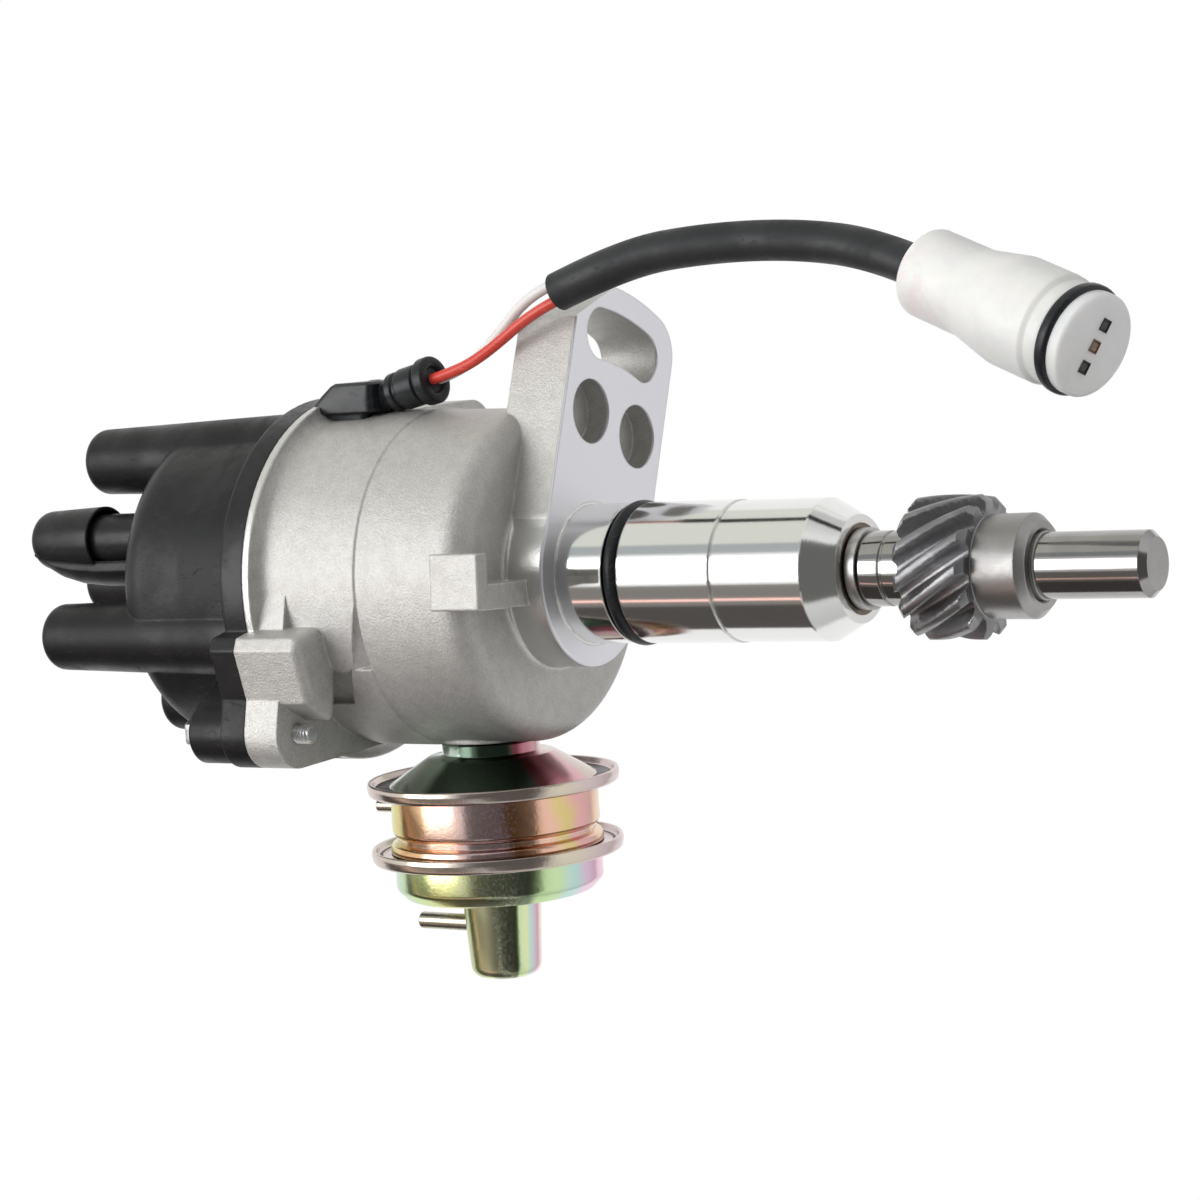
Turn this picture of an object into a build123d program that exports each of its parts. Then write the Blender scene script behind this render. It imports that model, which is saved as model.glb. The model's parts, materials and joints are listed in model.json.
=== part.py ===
from build123d import *
import os
from math import asin, atan2, cos, degrees, hypot, pi, radians, sin, tan

# Ignition distributor, in millimetres.
# +Z runs up the drive shaft towards the cap. The origin is on the shaft axis, in the plane of the
# seat face that rests on the engine block. The vacuum unit points along -X, the arm towards +X.

os.makedirs("parts", exist_ok=True)

# ---------------------------------------------------------------- fits and clearances
RUNNING_FIT = 0.03        # radial play of a turning fit
PART_GAP = 0.3            # space between neighbours that move past each other
HOLE_PLAY = 0.25          # radial play of a screw in a clearance hole

# ---------------------------------------------------------------- shank and bowl of the housing
SHANK_R = 13.5
SHANK_LENGTH = 59.0
SHANK_NOSE_R = 10.0
SHANK_NOSE_LENGTH = 6.0
BUSH_R = 8.5
HUB_RING_R = 18.0
HUB_RING_FILLET = 1.4
BOWL_R = 33.6
BOWL_BOTTOM = 8.8         # height of the bowl's underside over the seat face
BOWL_CORNER_R = 5.2
BOWL_WALL = 3.2
BOWL_FLOOR = 2.4
FLOOR_CORNER_SHARE = 0.8  # of the outer corner's radius, for the slope inside
WALL_DRAFT = 0.8          # how much the wall narrows towards the bottom
RIM_OVERHANG = 3.2
RIM_EDGE = 1.6
RIM_FILLET = 2.9
JOINT_Z = 57.5            # plane where the cap meets the housing
COLLAR_STEP = 0.35        # how far the upper band of the wall stands out of the lower one
COLLAR_HEIGHT = 24.8
TONGUE_ANGLE = 248.3      # centre of the rounded end of the tongue on the upper band
TONGUE_DROP = 17.7        # from the joint plane down to that centre
TONGUE_R = 3.5
POCKET_RELIEF = 1.4       # depth of the pocket past the tongue
POCKET_LENGTH = 11.5
POCKET_RISE = 12.0
WEDGE_LENGTH = 11.3       # from the tongue's centre to the tip of the wedge cut
WEDGE_OPENING = 4.2
WEDGE_DEPTH = 1.9

O_RING_SECTION = 3.0
O_RING_DEPTH = 12.0       # from the seat face to the middle of the ring
O_RING_PROUD = 0.45
O_RING_PLAY = 0.2         # room in the groove on each side of the ring
SCRIBE_DEPTH = 34.0       # from the seat face to the fine turned line
SCRIBE_WIDTH = 0.4
SCRIBE_SINK = 0.15        # depth of the turned line in the slimmer stretch
SHANK_STEP = 0.2          # how much slimmer the shank is below that line

# ---------------------------------------------------------------- clamp arm
ARM_ANGLE = 21.1          # from +X towards +Y
ARM_WIDTH = 35.0
ARM_THICKNESS = 13.4
ARM_REACH = 56.8
ARM_CORNER_CUT = 7.4      # along the end, on the near side
ARM_CORNER_CUT_SIDE = 12.0
ARM_CORNER_R = 8.0
SLOT_RADIUS = 46.9
SLOT_WIDTH = 10.2
SLOT_FROM = 10.7          # angle of the first end centre, from +X
SLOT_TO = 29.8
POCKET_R = 6.3
POCKET_RADIUS = 30.3      # along the arm
POCKET_SPREAD = 16.8
POCKET_DEPTH = 5.0

# ---------------------------------------------------------------- ears, boss and lug
EAR_REACH = 5.8           # from the rim's edge out to the ear's screw
EAR_ANGLE = 230.5
EAR_R = 6.8
EAR_THICKNESS = 8.0
BOSS_HEIGHT = 15.4
BOSS_ROUND = 2.0
BOSS_EDGE_ROUND = 0.6
LUG_WIDTH = 10.6
LUG_ANGLE = 273.5
LUG_PROUD = 3.6           # how far the lug stands out of the wall
LUG_BOTTOM = 1.2
LUG_HEIGHT = 11.0
LUG_LIP = 3.2             # thickness of the part that hangs below the bowl
LUG_RIB = 4.8             # width of the rib from the lug to the hub ring
LUG_FOOT = 5.8            # length of the rib's deep part next to the lug
LUG_RIB_RISE = 2.4
LUG_EDGE_ROUND = 0.4

# ---------------------------------------------------------------- drive shaft and gear
SHAFT_R = 6.2
SHAFT_END_DEPTH = 117.3   # from the seat face to the lower end
SHAFT_CHAMFER = 1.3
PILOT_STEP = 0.2          # how much slimmer the end below the gear is
WASHER_THICKNESS = 2.0
WASHER_R = 7.6
GEAR_TOP_DEPTH = 71.4
GEAR_WIDTH = 14.2
GEAR_R = 13.1
GEAR_ROOT_R = 9.7
GEAR_TEETH = 13
GEAR_TWIST = -44.0
GEAR_COLLAR_R = 6.95
GEAR_HUB_R = 9.5
GEAR_HUB_LENGTH = 10.0
GEAR_HUB_CHAMFER = 1.4
GEAR_PIN_R = 2.0
SEAL_LENGTH = 6.0
UPPER_BUSH_LENGTH = 22.0
LOWER_BUSH_LENGTH = 19.0

# ---------------------------------------------------------------- centrifugal advance
GOVERNOR_R = 23.0
GOVERNOR_THICKNESS = 1.8
GOVERNOR_LIFT = 0.6
SPIGOT_R = 4.0
WEIGHT_THICKNESS = 2.6
WEIGHT_INNER_R = 8.4
WEIGHT_OUTER_R = 19.5
WEIGHT_FROM = -16.0
WEIGHT_TO = 92.0
WEIGHT_PIVOT_RADIUS = 16.5
WEIGHT_PIVOT_R = 2.0
WEIGHT_BOSS_R = 4.2
WEIGHT_SWING = 15.0
CAM_ADVANCE = 8.0
STUD_RADIUS = 12.0
STUD_ANGLE = 70.0
STUD_R = 1.2
CAM_PLATE_R = 19.0
CAM_PLATE_THICKNESS = 1.6
SLEEVE_R = 7.0
GOVERNOR_POST_RADIUS = 21.4
GOVERNOR_POST_ANGLE = 150.0
CAM_POST_RADIUS = 16.4
CAM_POST_ANGLE = 115.0
POST_R = 1.1
SPRING_R = 1.2
SPRING_WIRE = 0.5
CAM_SCREW_HEAD_R = 4.7
CAM_SCREW_R = 2.0
CAM_SCREW_LENGTH = 9.0

# ---------------------------------------------------------------- plates and pickup
PLATE_Z = 22.0            # underside of the fixed plate
PLATE_THICKNESS = 2.0
PLATE_BORE_R = 9.0
PLATE_COLLAR_R = 11.0
PILLAR_R = 3.8
PILLAR_INSET = 2.2
PILLAR_ANGLES = (40.0, 140.0, 290.0)
PLATE_SCREW_R = 1.5
PLATE_SCREW_HEAD_R = 2.9
PLATE_SCREW_HEAD = 1.8
PLATE_SCREW_DEPTH = 6.0
PLATE_MARGIN = 6.2        # from the bowl's inner wall to the edge of the pickup plate
RETAINER_R = 12.8
RETAINER_THICKNESS = 0.7
SIGNAL_Z = 33.0
SIGNAL_HEIGHT = 8.0
SIGNAL_R = 12.6
SIGNAL_HUB_R = 9.6
SIGNAL_TEETH = 4
SIGNAL_TOOTH_WIDTH = 3.4
KEY_SIZE = 1.8
AIR_GAP = 0.5
CORE_WIDTH = 9.0
CORE_THICKNESS = 3.0
PICKUP_ANGLE = 95.0
COIL_R = 4.4
COIL_LENGTH = 5.0
MAGNET_THICKNESS = 2.6
PICKUP_SCREW_R = 1.25
PICKUP_SCREW_HEAD_R = 2.3
PICKUP_SCREW_HEAD = 1.4
PICKUP_SCREW_SPREAD = 5.2  # from the pickup's middle line to each screw
PICKUP_SCREW_SETBACK = 3.2
PICKUP_FOOT = 1.6
PICKUP_FOOT_MARGIN = 2.6

# ---------------------------------------------------------------- vacuum unit
VACUUM_Z = 27.5
VACUUM_SINK = 1.2         # how deep its seat lies in the wall
VACUUM_PLAY = 0.4
ROD_HOLE_R = 4.4
SHEET = 0.9               # wall of the pressed shells
COVER_NECK_R = 9.8
COVER_NECK_LENGTH = 3.0
COVER_TOP_R = 13.2
COVER_FOOT_R = 20.3
CAN_R = 20.7
RING_R = 25.3
RING_LIP = 0.4
COVER_DEPTH = 8.5         # from the seat to the first clamped rim
CAN_SPACING = 13.4        # from the first clamped rim to the second
CAN_DEPTH = 11.1
CUP_R = 7.7
CUP_TIP_R = 6.9
CUP_DEPTH = 14.9
MIDDLE_DEPTH = 10.9
NIPPLE_1_OFFSET = 5.9     # from the first clamped rim
NIPPLE_1_R = 1.35
NIPPLE_1_LENGTH = 8.4
NIPPLE_2_OFFSET = 4.8     # from the end of the outer can
NIPPLE_2_R = 1.7
NIPPLE_2_LENGTH = 12.4
NIPPLE_WALL = 0.6
NIPPLE_COLLAR = 0.6       # how far the brazed collar stands out of the can and of the tube
NIPPLE_ROOT = 2.0
DIAPHRAGM = 0.8
DISH_R = 12.0
DISH_THICKNESS = 1.5
ROD_R = 1.8
ROD_WIDTH = 6.0
ROD_THICKNESS = 1.6
ROD_KNEE_INSET = 6.4      # from the bowl's inner wall
ROD_PIN_INSET = 2.2       # from the edge of the pickup plate
ROD_PIN_ANGLE = 240.0
ROD_PIN_R = 1.5
ROD_PIN_HEIGHT = 3.8
ROD_EYE_R = 4.4
ROD_SLOT_PLAY = 0.35
PLATE_ADVANCE = 10.0
CLIP_THICKNESS = 0.7
CLIP_R = 3.1
VACUUM_SPRING_R = 8.2
VACUUM_SPRING_WIRE = 1.0
CUP_SPRING_R = 4.4
CUP_SPRING_WIRE = 0.9
VACUUM_SCREW_R = 1.2
VACUUM_SCREW_DEPTH = 1.2
VACUUM_SCREW_HEAD = 1.3
VACUUM_SCREW_HEAD_R = 1.9

# ---------------------------------------------------------------- cap, rotor and towers
CAP_FLANGE = 6.0
CAP_EAR_HEIGHT = 14.7
CAP_EAR_R = 6.1
DOME_INSET = 0.2
DOME_TAPER = 0.7
DOME_TOP_Z = 95.4
DOME_SHOULDER = 7.0
CAP_WALL = 3.0
CAP_SIDE_WALL = 2.5
TOWER_INSET = 5.8
TOWER_ANGLE = 341.6
TOWER_COUNT = 4
TOWER_BASE_R = 8.1
TOWER_TIP_R = 6.75
TOWER_TIP_Z = 116.0
TOWER_ROUND = 2.4
CENTER_TIP_Z = 126.5
CENTER_BASE_R = 8.0
SOCKET_R = 4.0
SOCKET_DEPTH = 20.0
CUP_LEDGE = 0.3           # step between the lead's socket and the terminal cup below it
CUP_HEIGHT = 8.0
CUP_BORE_R = 2.9
STEM_R = 2.2
ELECTRODE_HEAD_R = 2.6
ELECTRODE_DROP = 22.0     # from the dome's ceiling down to the electrode's end
ELECTRODE_HEAD = 9.0
BRUSH_R = 2.4
BRUSH_LENGTH = 10.0
BRUSH_TRAVEL = 1.2
BRUSH_SPRING_LENGTH = 7.6
BRUSH_BOSS_R = 5.6
SEAL_SECTION = 1.6
SEAL_INSET = 0.6          # from the cap's inner wall
SCREW_R = 2.0
SCREW_HEAD_R = 3.9
SCREW_HEAD_HEIGHT = 3.6
SCREW_SLOT_LENGTH = 5.0
SCREW_SLOT_WIDTH = 1.1
SCREW_SLOT_DEPTH = 1.1
SCREW_TIP_OUT = 1.8       # how far the tip passes the ear
ROTOR_HUB_R = 9.4
ROTOR_TOP_GAP = 1.2       # spark gap between blade and electrode
ROTOR_ARM_WIDTH = 11.0
ROTOR_ARM_THICKNESS = 5.0
BLADE_WIDTH = 6.5
BLADE_THICKNESS = 1.4
CONTACT_R = 4.6

# ---------------------------------------------------------------- breather hood on the cap
HOOD_X = 10.5
HOOD_Y = -15.6
HOOD_R = 6.8
HOOD_TIP_R = 6.0
HOOD_NECK_R = 5.2
HOOD_NECK_WALL = 1.4
HOOD_TIP_Z = 127.6
HOOD_LENGTH = 17.4
HOOD_ROUND = 3.8
HOOD_WALL = 0.7
HOOD_ROOF = 5.0
HOOD_FLAP_REACH = 9.8
HOOD_FLAP_WIDTH = 9.0
HOOD_FLAP_LIFT = 3.0

# ---------------------------------------------------------------- cable outlet and harness
OUTLET_Y = -1.5
OUTLET_WIDTH = 13.0
OUTLET_NOTCH_DEPTH = 12.0
OUTLET_FLANGE_WIDTH = 16.5
OUTLET_REACH = 2.4        # past the rim's edge
OUTLET_LENGTH = 14.6
RELIEF_Y = -4.0
RELIEF_FOOT_PROUD = 2.6    # past the bowl's wall
RELIEF_FOOT_Z = 46.0
RELIEF_END_PROUD = 5.8     # past the bowl's wall
RELIEF_END_Z = 31.3
RELIEF_NECK_R = 3.4
RELIEF_BARREL_R = 4.1
RELIEF_FLANGE_R = 4.8
RELIEF_FLANGE = 3.0
LEAD_R = 1.1
LEAD_SPREAD = 1.25
SLEEVE_TUBE_R = 3.8
SLEEVE_POINTS = [(54.6, -4.0, 1.0), (60.0, -4.0, -14.5), (61.5, -4.0, -33.0), (60.9, -4.0, -52.0),
                 (57.9, -4.85, -68.7), (53.3, -8.2, -80.0)]
RED_POINTS = [(39.4, -5.25, 31.3), (40.9, -5.25, 24.4), (44.3, -5.3, 17.0), (50.86, -5.3, 6.6)]
WHITE_POINTS = [(39.4, -2.75, 31.3), (41.1, -2.75, 24.4), (45.4, -2.75, 17.4), (53.6, -2.9, 7.5)]
RED_MOUTH = -1.7          # where the lead enters the sleeve, across its axis
WHITE_MOUTH = 1.3

CONNECTOR_LENGTH = 40.6
CONNECTOR_REAR_R = 8.1
CONNECTOR_REAR = 15.0
CONNECTOR_BODY_R = 9.9
CONNECTOR_SHOULDER = 5.0
CONNECTOR_NOSE_R = 9.2
CONNECTOR_NOSE = 8.6
CONNECTOR_SEAL_WIDTH = 2.4
CONNECTOR_SEAL_DEPTH = 1.0
CONNECTOR_FACE = 2.4
TERMINAL_PITCH = 4.6
TERMINAL_SOCKET = 2.4
TERMINAL_DEPTH = 9.0
TERMINAL_SIZE = 1.2

# ---------------------------------------------------------------- places worked out from the sizes
FLOOR_TOP = BOWL_BOTTOM + BOWL_FLOOR
BOWL_INNER_R = BOWL_R - BOWL_WALL
RIM_R = BOWL_R + RIM_OVERHANG
EAR_RADIUS = RIM_R + EAR_REACH
LUG_REACH = BOWL_R + LUG_PROUD
BOSS_OUTLINE = [(-6.2, -3.2), (-7.6, 3.0), (-10.0, 4.1), (-20.6, 1.2), (-25.0, -6.8), (-8.0, -9.8)]
PILLAR_RADIUS = BOWL_INNER_R - PILLAR_INSET
PICKUP_PLATE_R = BOWL_INNER_R - PLATE_MARGIN
ROD_PIN_RADIUS = PICKUP_PLATE_R - ROD_PIN_INSET
ROD_KNEE_X = BOWL_INNER_R - ROD_KNEE_INSET
DOME_R = BOWL_R - DOME_INSET
DOME_TOP_R = DOME_R - DOME_TAPER
CAP_INNER_R = DOME_R - CAP_SIDE_WALL
TOWER_RADIUS = DOME_R - TOWER_INSET
OUTLET_TOP_X = RIM_R + OUTLET_REACH
RELIEF_FOOT = (BOWL_R + RELIEF_FOOT_PROUD, RELIEF_FOOT_Z)
RELIEF_END = (BOWL_R + RELIEF_END_PROUD, RELIEF_END_Z)
VACUUM_SEAT = BOWL_R - VACUUM_SINK
RING_1 = VACUUM_SEAT + COVER_DEPTH
RING_2 = RING_1 + CAN_SPACING
MIDDLE_FLOOR = RING_1 + MIDDLE_DEPTH
CAN_END = RING_2 + CAN_DEPTH
CUP_END = CAN_END + CUP_DEPTH
NIPPLE_1_X = RING_1 + NIPPLE_1_OFFSET
NIPPLE_1_TIP = VACUUM_Z + CAN_R + NIPPLE_1_LENGTH
NIPPLE_2_X = CAN_END + NIPPLE_2_OFFSET
NIPPLE_2_TIP = VACUUM_Z + CUP_R + NIPPLE_2_LENGTH
GOVERNOR_Z = FLOOR_TOP + GOVERNOR_LIFT
GOVERNOR_TOP = GOVERNOR_Z + GOVERNOR_THICKNESS
WEIGHT_Z = GOVERNOR_TOP + PART_GAP
WEIGHT_TOP = WEIGHT_Z + WEIGHT_THICKNESS
CAM_PLATE_Z = WEIGHT_TOP + PART_GAP
CAM_PLATE_TOP = CAM_PLATE_Z + CAM_PLATE_THICKNESS
SPRING_Z = CAM_PLATE_TOP + SPRING_R + PART_GAP
POST_TOP = SPRING_Z + POST_R
PLATE_TOP = PLATE_Z + PLATE_THICKNESS
PICKUP_Z = PLATE_TOP + PART_GAP
PICKUP_TOP = PICKUP_Z + PLATE_THICKNESS
ROD_Z = VACUUM_Z - ROD_THICKNESS / 2
SIGNAL_TOP = SIGNAL_Z + SIGNAL_HEIGHT
SLEEVE_TOP = SIGNAL_TOP + 3.0
SPIGOT_TOP = SIGNAL_TOP - 2.7
CEILING_Z = DOME_TOP_Z - CAP_WALL
ELECTRODE_Z = CEILING_Z - ELECTRODE_DROP
BLADE_Z = ELECTRODE_Z + 1.0
ROTOR_ARM_Z = BLADE_Z - ROTOR_ARM_THICKNESS
CONTACT_TOP = BLADE_Z + BLADE_THICKNESS
BRUSH_Z = CONTACT_TOP + 0.2
BRUSH_TOP = BRUSH_Z + BRUSH_LENGTH
CENTER_HEAD_Z = BRUSH_TOP + BRUSH_SPRING_LENGTH
SOCKET_FLOOR = TOWER_TIP_Z - SOCKET_DEPTH
CENTER_SOCKET_FLOOR = CENTER_TIP_Z - SOCKET_DEPTH
CUP_OUTER_R = SOCKET_R - CUP_LEDGE
GEAR_BOTTOM = -GEAR_TOP_DEPTH - GEAR_WIDTH
GEAR_HUB_BOTTOM = GEAR_BOTTOM - GEAR_HUB_LENGTH
EAR_ANGLES = (EAR_ANGLE, EAR_ANGLE - 180.0)
CAP_EAR_TOP = JOINT_Z + CAP_EAR_HEIGHT

cord_lengths = {}


# ---------------------------------------------------------------- helpers
def polar(radius, angle):
    """Point in the XY plane at a radius and an angle from +X."""
    return radius * cos(radians(angle)), radius * sin(radians(angle))


def rod(radius, z_low, z_high, x=0.0, y=0.0):
    """Upright cylinder between two heights."""
    return Pos(x, y, (z_low + z_high) / 2) * Cylinder(radius, z_high - z_low)


def tube(outer, inner, z_low, z_high, x=0.0, y=0.0):
    """Upright cylinder with a bore through it."""
    return rod(outer, z_low, z_high, x, y) - rod(inner, z_low - 1, z_high + 1, x, y)


def block(x_range, y_range, z_range):
    """Box between two limits along each axis."""
    middle = [(low + high) / 2 for low, high in (x_range, y_range, z_range)]
    size = [high - low for low, high in (x_range, y_range, z_range)]
    return Pos(*middle) * Box(*size)


def closed_face(points):
    """Face inside a closed outline; a point may carry a fillet radius as its last value."""
    corners = [point[:3] for point in points]
    radii = [point[3] if len(point) > 3 else 0 for point in points]
    return make_face(FilletPolyline(*corners, radius=radii, close=True))


def turned(profile):
    """Solid of revolution about the shaft axis from (radius, height[, fillet]) points."""
    return revolve(closed_face([(p[0], 0, p[1], *p[2:]) for p in profile]), Axis.Z, 360)


def turned_along_x(profile):
    """Solid of revolution about the vacuum unit's axis from (distance, radius[, fillet]) points."""
    face = closed_face([(-p[0], 0, VACUUM_Z + p[1], *p[2:]) for p in profile])
    return revolve(face, Axis((0, 0, VACUUM_Z), (1, 0, 0)), 360)


def x_rod(radius, near, far, y=0.0, z=0.0):
    """Cylinder along -X between two distances, about the vacuum unit's axis plus an offset."""
    middle = -(near + far) / 2
    return Pos(middle, y, VACUUM_Z + z) * Rot(0, 90, 0) * Cylinder(radius, far - near)


def plan(points, z_low, z_high):
    """Upright prism over a closed outline of (x, y[, fillet]) points."""
    face = closed_face([(p[0], p[1], z_low, *p[2:]) for p in points])
    return extrude(face, z_high - z_low, dir=(0, 0, 1))


def hull_between(circle_1, circle_2, z_low, z_high):
    """Prism over the convex hull of two circles given as (x, y, radius)."""
    (x1, y1, r1), (x2, y2, r2) = circle_1, circle_2
    span = hypot(x2 - x1, y2 - y1)
    heading = degrees(atan2(y2 - y1, x2 - x1))
    lean = 90 - degrees(asin((r1 - r2) / span))
    corners = []
    for x, y, r, side in ((x1, y1, r1, -1), (x2, y2, r2, -1), (x2, y2, r2, 1), (x1, y1, r1, 1)):
        dx, dy = polar(r, heading + side * lean)
        corners.append((x + dx, y + dy))
    return plan(corners, z_low, z_high) + rod(r1, z_low, z_high, x1, y1) + rod(r2, z_low, z_high, x2, y2)


def half_turn_copy(shape):
    """The same shape turned half a turn about the shaft axis."""
    return Rot(0, 0, 180) * shape


def group(shapes):
    """Separate solids of one node kept side by side."""
    return Compound(children=[solid for shape in shapes for solid in shape.solids()])


def save(shape, node):
    """Write one node to its STEP file."""
    export_step(shape, f"parts/{node}.step")
    return shape


# ---------------------------------------------------------------- housing
def arm_plate():
    """Clamp arm with its slot, in place."""
    half = ARM_WIDTH / 2
    plate = block((0, ARM_REACH + 2), (-half, half), (0, ARM_THICKNESS))
    plate &= rod(ARM_REACH, 0, ARM_THICKNESS)
    tip_x = (ARM_REACH ** 2 - half ** 2) ** 0.5
    corner = plate.edges().filter_by(Axis.Z).sort_by(Axis.Y)[-1:]
    far_edges = [edge for edge in plate.edges().filter_by(Axis.Z)
                 if edge.center().Y > half - 0.1 and edge.center().X > tip_x - 1]
    plate = fillet(far_edges or corner, ARM_CORNER_R)
    cut = [(tip_x + 8, -half - 1), (tip_x - ARM_CORNER_CUT, -half - 1), (tip_x - ARM_CORNER_CUT, -half),
           (ARM_REACH, -half + ARM_CORNER_CUT_SIDE), (ARM_REACH + 8, -half + ARM_CORNER_CUT_SIDE)]
    plate -= plan(cut, -1, ARM_THICKNESS + 1)
    return Rot(0, 0, ARM_ANGLE) * plate


def arm_slot():
    """Arc slot through the arm, about the shaft axis."""
    inner, outer = SLOT_RADIUS - SLOT_WIDTH / 2, SLOT_RADIUS + SLOT_WIDTH / 2
    low, high = -1, ARM_THICKNESS + 1
    sector = tube(outer, inner, low, high)
    reach = outer * 2
    wedge = plan([(0, 0), polar(reach, SLOT_FROM), polar(reach, SLOT_TO)], low, high)
    ends = [rod(SLOT_WIDTH / 2, low, high, *polar(SLOT_RADIUS, angle)) for angle in (SLOT_FROM, SLOT_TO)]
    return (sector & wedge) + ends


def arm_pockets():
    """Two blind pockets cored into the arm's seat face."""
    pockets = []
    for side in (-1, 1):
        pocket = rod(POCKET_R, -1, POCKET_DEPTH, POCKET_RADIUS, side * POCKET_SPREAD / 2)
        pockets.append(Rot(0, 0, ARM_ANGLE) * pocket)
    return pockets


def bowl():
    """Shank, hub ring and bowl turned as one casting, with the shaft bore."""
    shank_top = -SHANK_LENGTH
    groove_r = SHANK_R - O_RING_SECTION + O_RING_PROUD
    groove_low = -O_RING_DEPTH - O_RING_SECTION / 2 - O_RING_PLAY
    groove_high = -O_RING_DEPTH + O_RING_SECTION / 2 + O_RING_PLAY
    collar_z = JOINT_Z - COLLAR_HEIGHT
    wall_r, slim_r = BOWL_R - COLLAR_STEP, SHANK_R - SHANK_STEP
    corner = BOWL_CORNER_R * FLOOR_CORNER_SHARE
    body = turned([
        (BUSH_R, shank_top), (SHANK_NOSE_R, shank_top), (slim_r, shank_top + SHANK_NOSE_LENGTH),
        (slim_r, -SCRIBE_DEPTH), (SHANK_R, -SCRIBE_DEPTH), (SHANK_R, groove_low), (groove_r, groove_low),
        (groove_r, groove_high), (SHANK_R, groove_high),
        (SHANK_R, 0), (HUB_RING_R, 0, 0.4), (HUB_RING_R, BOWL_BOTTOM, HUB_RING_FILLET),
        (wall_r - WALL_DRAFT, BOWL_BOTTOM, BOWL_CORNER_R), (wall_r, collar_z),
        (BOWL_R, collar_z + COLLAR_STEP),
        (BOWL_R, JOINT_Z - RIM_EDGE, RIM_FILLET), (RIM_R, JOINT_Z - RIM_EDGE, 0.25), (RIM_R, JOINT_Z),
        (BOWL_INNER_R, JOINT_Z), (BOWL_INNER_R, FLOOR_TOP + corner), (BOWL_INNER_R - corner, FLOOR_TOP),
        (BUSH_R, FLOOR_TOP)])
    scribe_low, scribe_high = -SCRIBE_DEPTH - SCRIBE_WIDTH / 2, -SCRIBE_DEPTH + SCRIBE_WIDTH / 2
    return body - tube(SHANK_R + 1, slim_r - SCRIBE_SINK, scribe_low, scribe_high)


def rim_plan(z_low, z_high, ear_r):
    """Ears and boss that stand out of the rim, between two heights."""
    shapes = [hull_between((0, 0, RIM_R - 4), (*polar(EAR_RADIUS, angle), ear_r), z_low, z_high)
              for angle in EAR_ANGLES]
    return shapes[0] + shapes[1]


def boss_block(z_low, z_high):
    """Boss beside the first ear; its outline is given as x and the reach past the rim's radius."""
    return plan([(x, -RIM_R - reach, BOSS_EDGE_ROUND) for x, reach in BOSS_OUTLINE], z_low, z_high)


def rounded_boss():
    """The housing's half of the boss, with its lower end rounded off."""
    block_shape = boss_block(JOINT_Z - BOSS_HEIGHT, JOINT_Z)
    outer = [edge for edge in block_shape.faces().sort_by(Axis.Z)[0].edges()
             if hypot(edge.center().X, edge.center().Y) > BOWL_R]
    return fillet(outer, BOSS_ROUND)


def mark_lug():
    """Cast lug low on the bowl: a head on the wall, a lip below it and a rib to the hub ring."""
    half = LUG_WIDTH / 2
    root = BOWL_INNER_R - 1
    head = block((root, LUG_REACH), (-half, half), (BOWL_BOTTOM, LUG_BOTTOM + LUG_HEIGHT))
    head += block((LUG_REACH - LUG_LIP, LUG_REACH), (-half, half), (LUG_BOTTOM, BOWL_BOTTOM))
    head = fillet(head.faces().sort_by(Axis.X)[-1].edges(), LUG_EDGE_ROUND)
    lip_root = LUG_REACH - LUG_LIP
    sides, top = (-half, -half + LUG_RIB), BOWL_BOTTOM + 1
    rib = block((HUB_RING_R - 1, lip_root), sides, (LUG_BOTTOM + LUG_RIB_RISE, top))
    rib += block((lip_root - LUG_FOOT, lip_root), sides, (LUG_BOTTOM, top))
    return Rot(0, 0, LUG_ANGLE) * (head + rib)


def tongue_relief():
    """Pocket and wedge cut that leave a rounded tongue standing on the upper band of the wall."""
    centre_z, collar_z = JOINT_Z - TONGUE_DROP, JOINT_Z - COLLAR_HEIGHT
    start = BOWL_R / 2
    outline = [(0, -TONGUE_R), (-TONGUE_R, -0.6 * TONGUE_R), (-POCKET_LENGTH, 0.4 * TONGUE_R),
               (-POCKET_LENGTH, POCKET_RISE), (0, POCKET_RISE)]
    face = make_face(Polyline(*[(start, y, centre_z + z) for y, z in outline], close=True))
    pocket = extrude(face, BOWL_R, dir=(1, 0, 0))
    pocket &= tube(BOWL_R + 1, BOWL_R - POCKET_RELIEF, collar_z, JOINT_Z)
    pocket -= Pos(BOWL_R, 0, centre_z) * Rot(0, 90, 0) * Cylinder(TONGUE_R, BOWL_R)
    sections = []
    for y, rise, depth in ((WEDGE_LENGTH, 0.1, 0.05), (-0.8 * TONGUE_R, WEDGE_OPENING, WEDGE_DEPTH)):
        wall = (BOWL_R ** 2 - y ** 2) ** 0.5
        corners = [(wall + 0.1, y, collar_z + rise), (wall - depth, y, collar_z),
                   (wall + 3, y, collar_z), (wall + 3, y, collar_z + rise)]
        sections.append(make_face(Polyline(*corners, close=True)))
    return Rot(0, 0, TONGUE_ANGLE) * (pocket + loft(sections, ruled=True))


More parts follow.
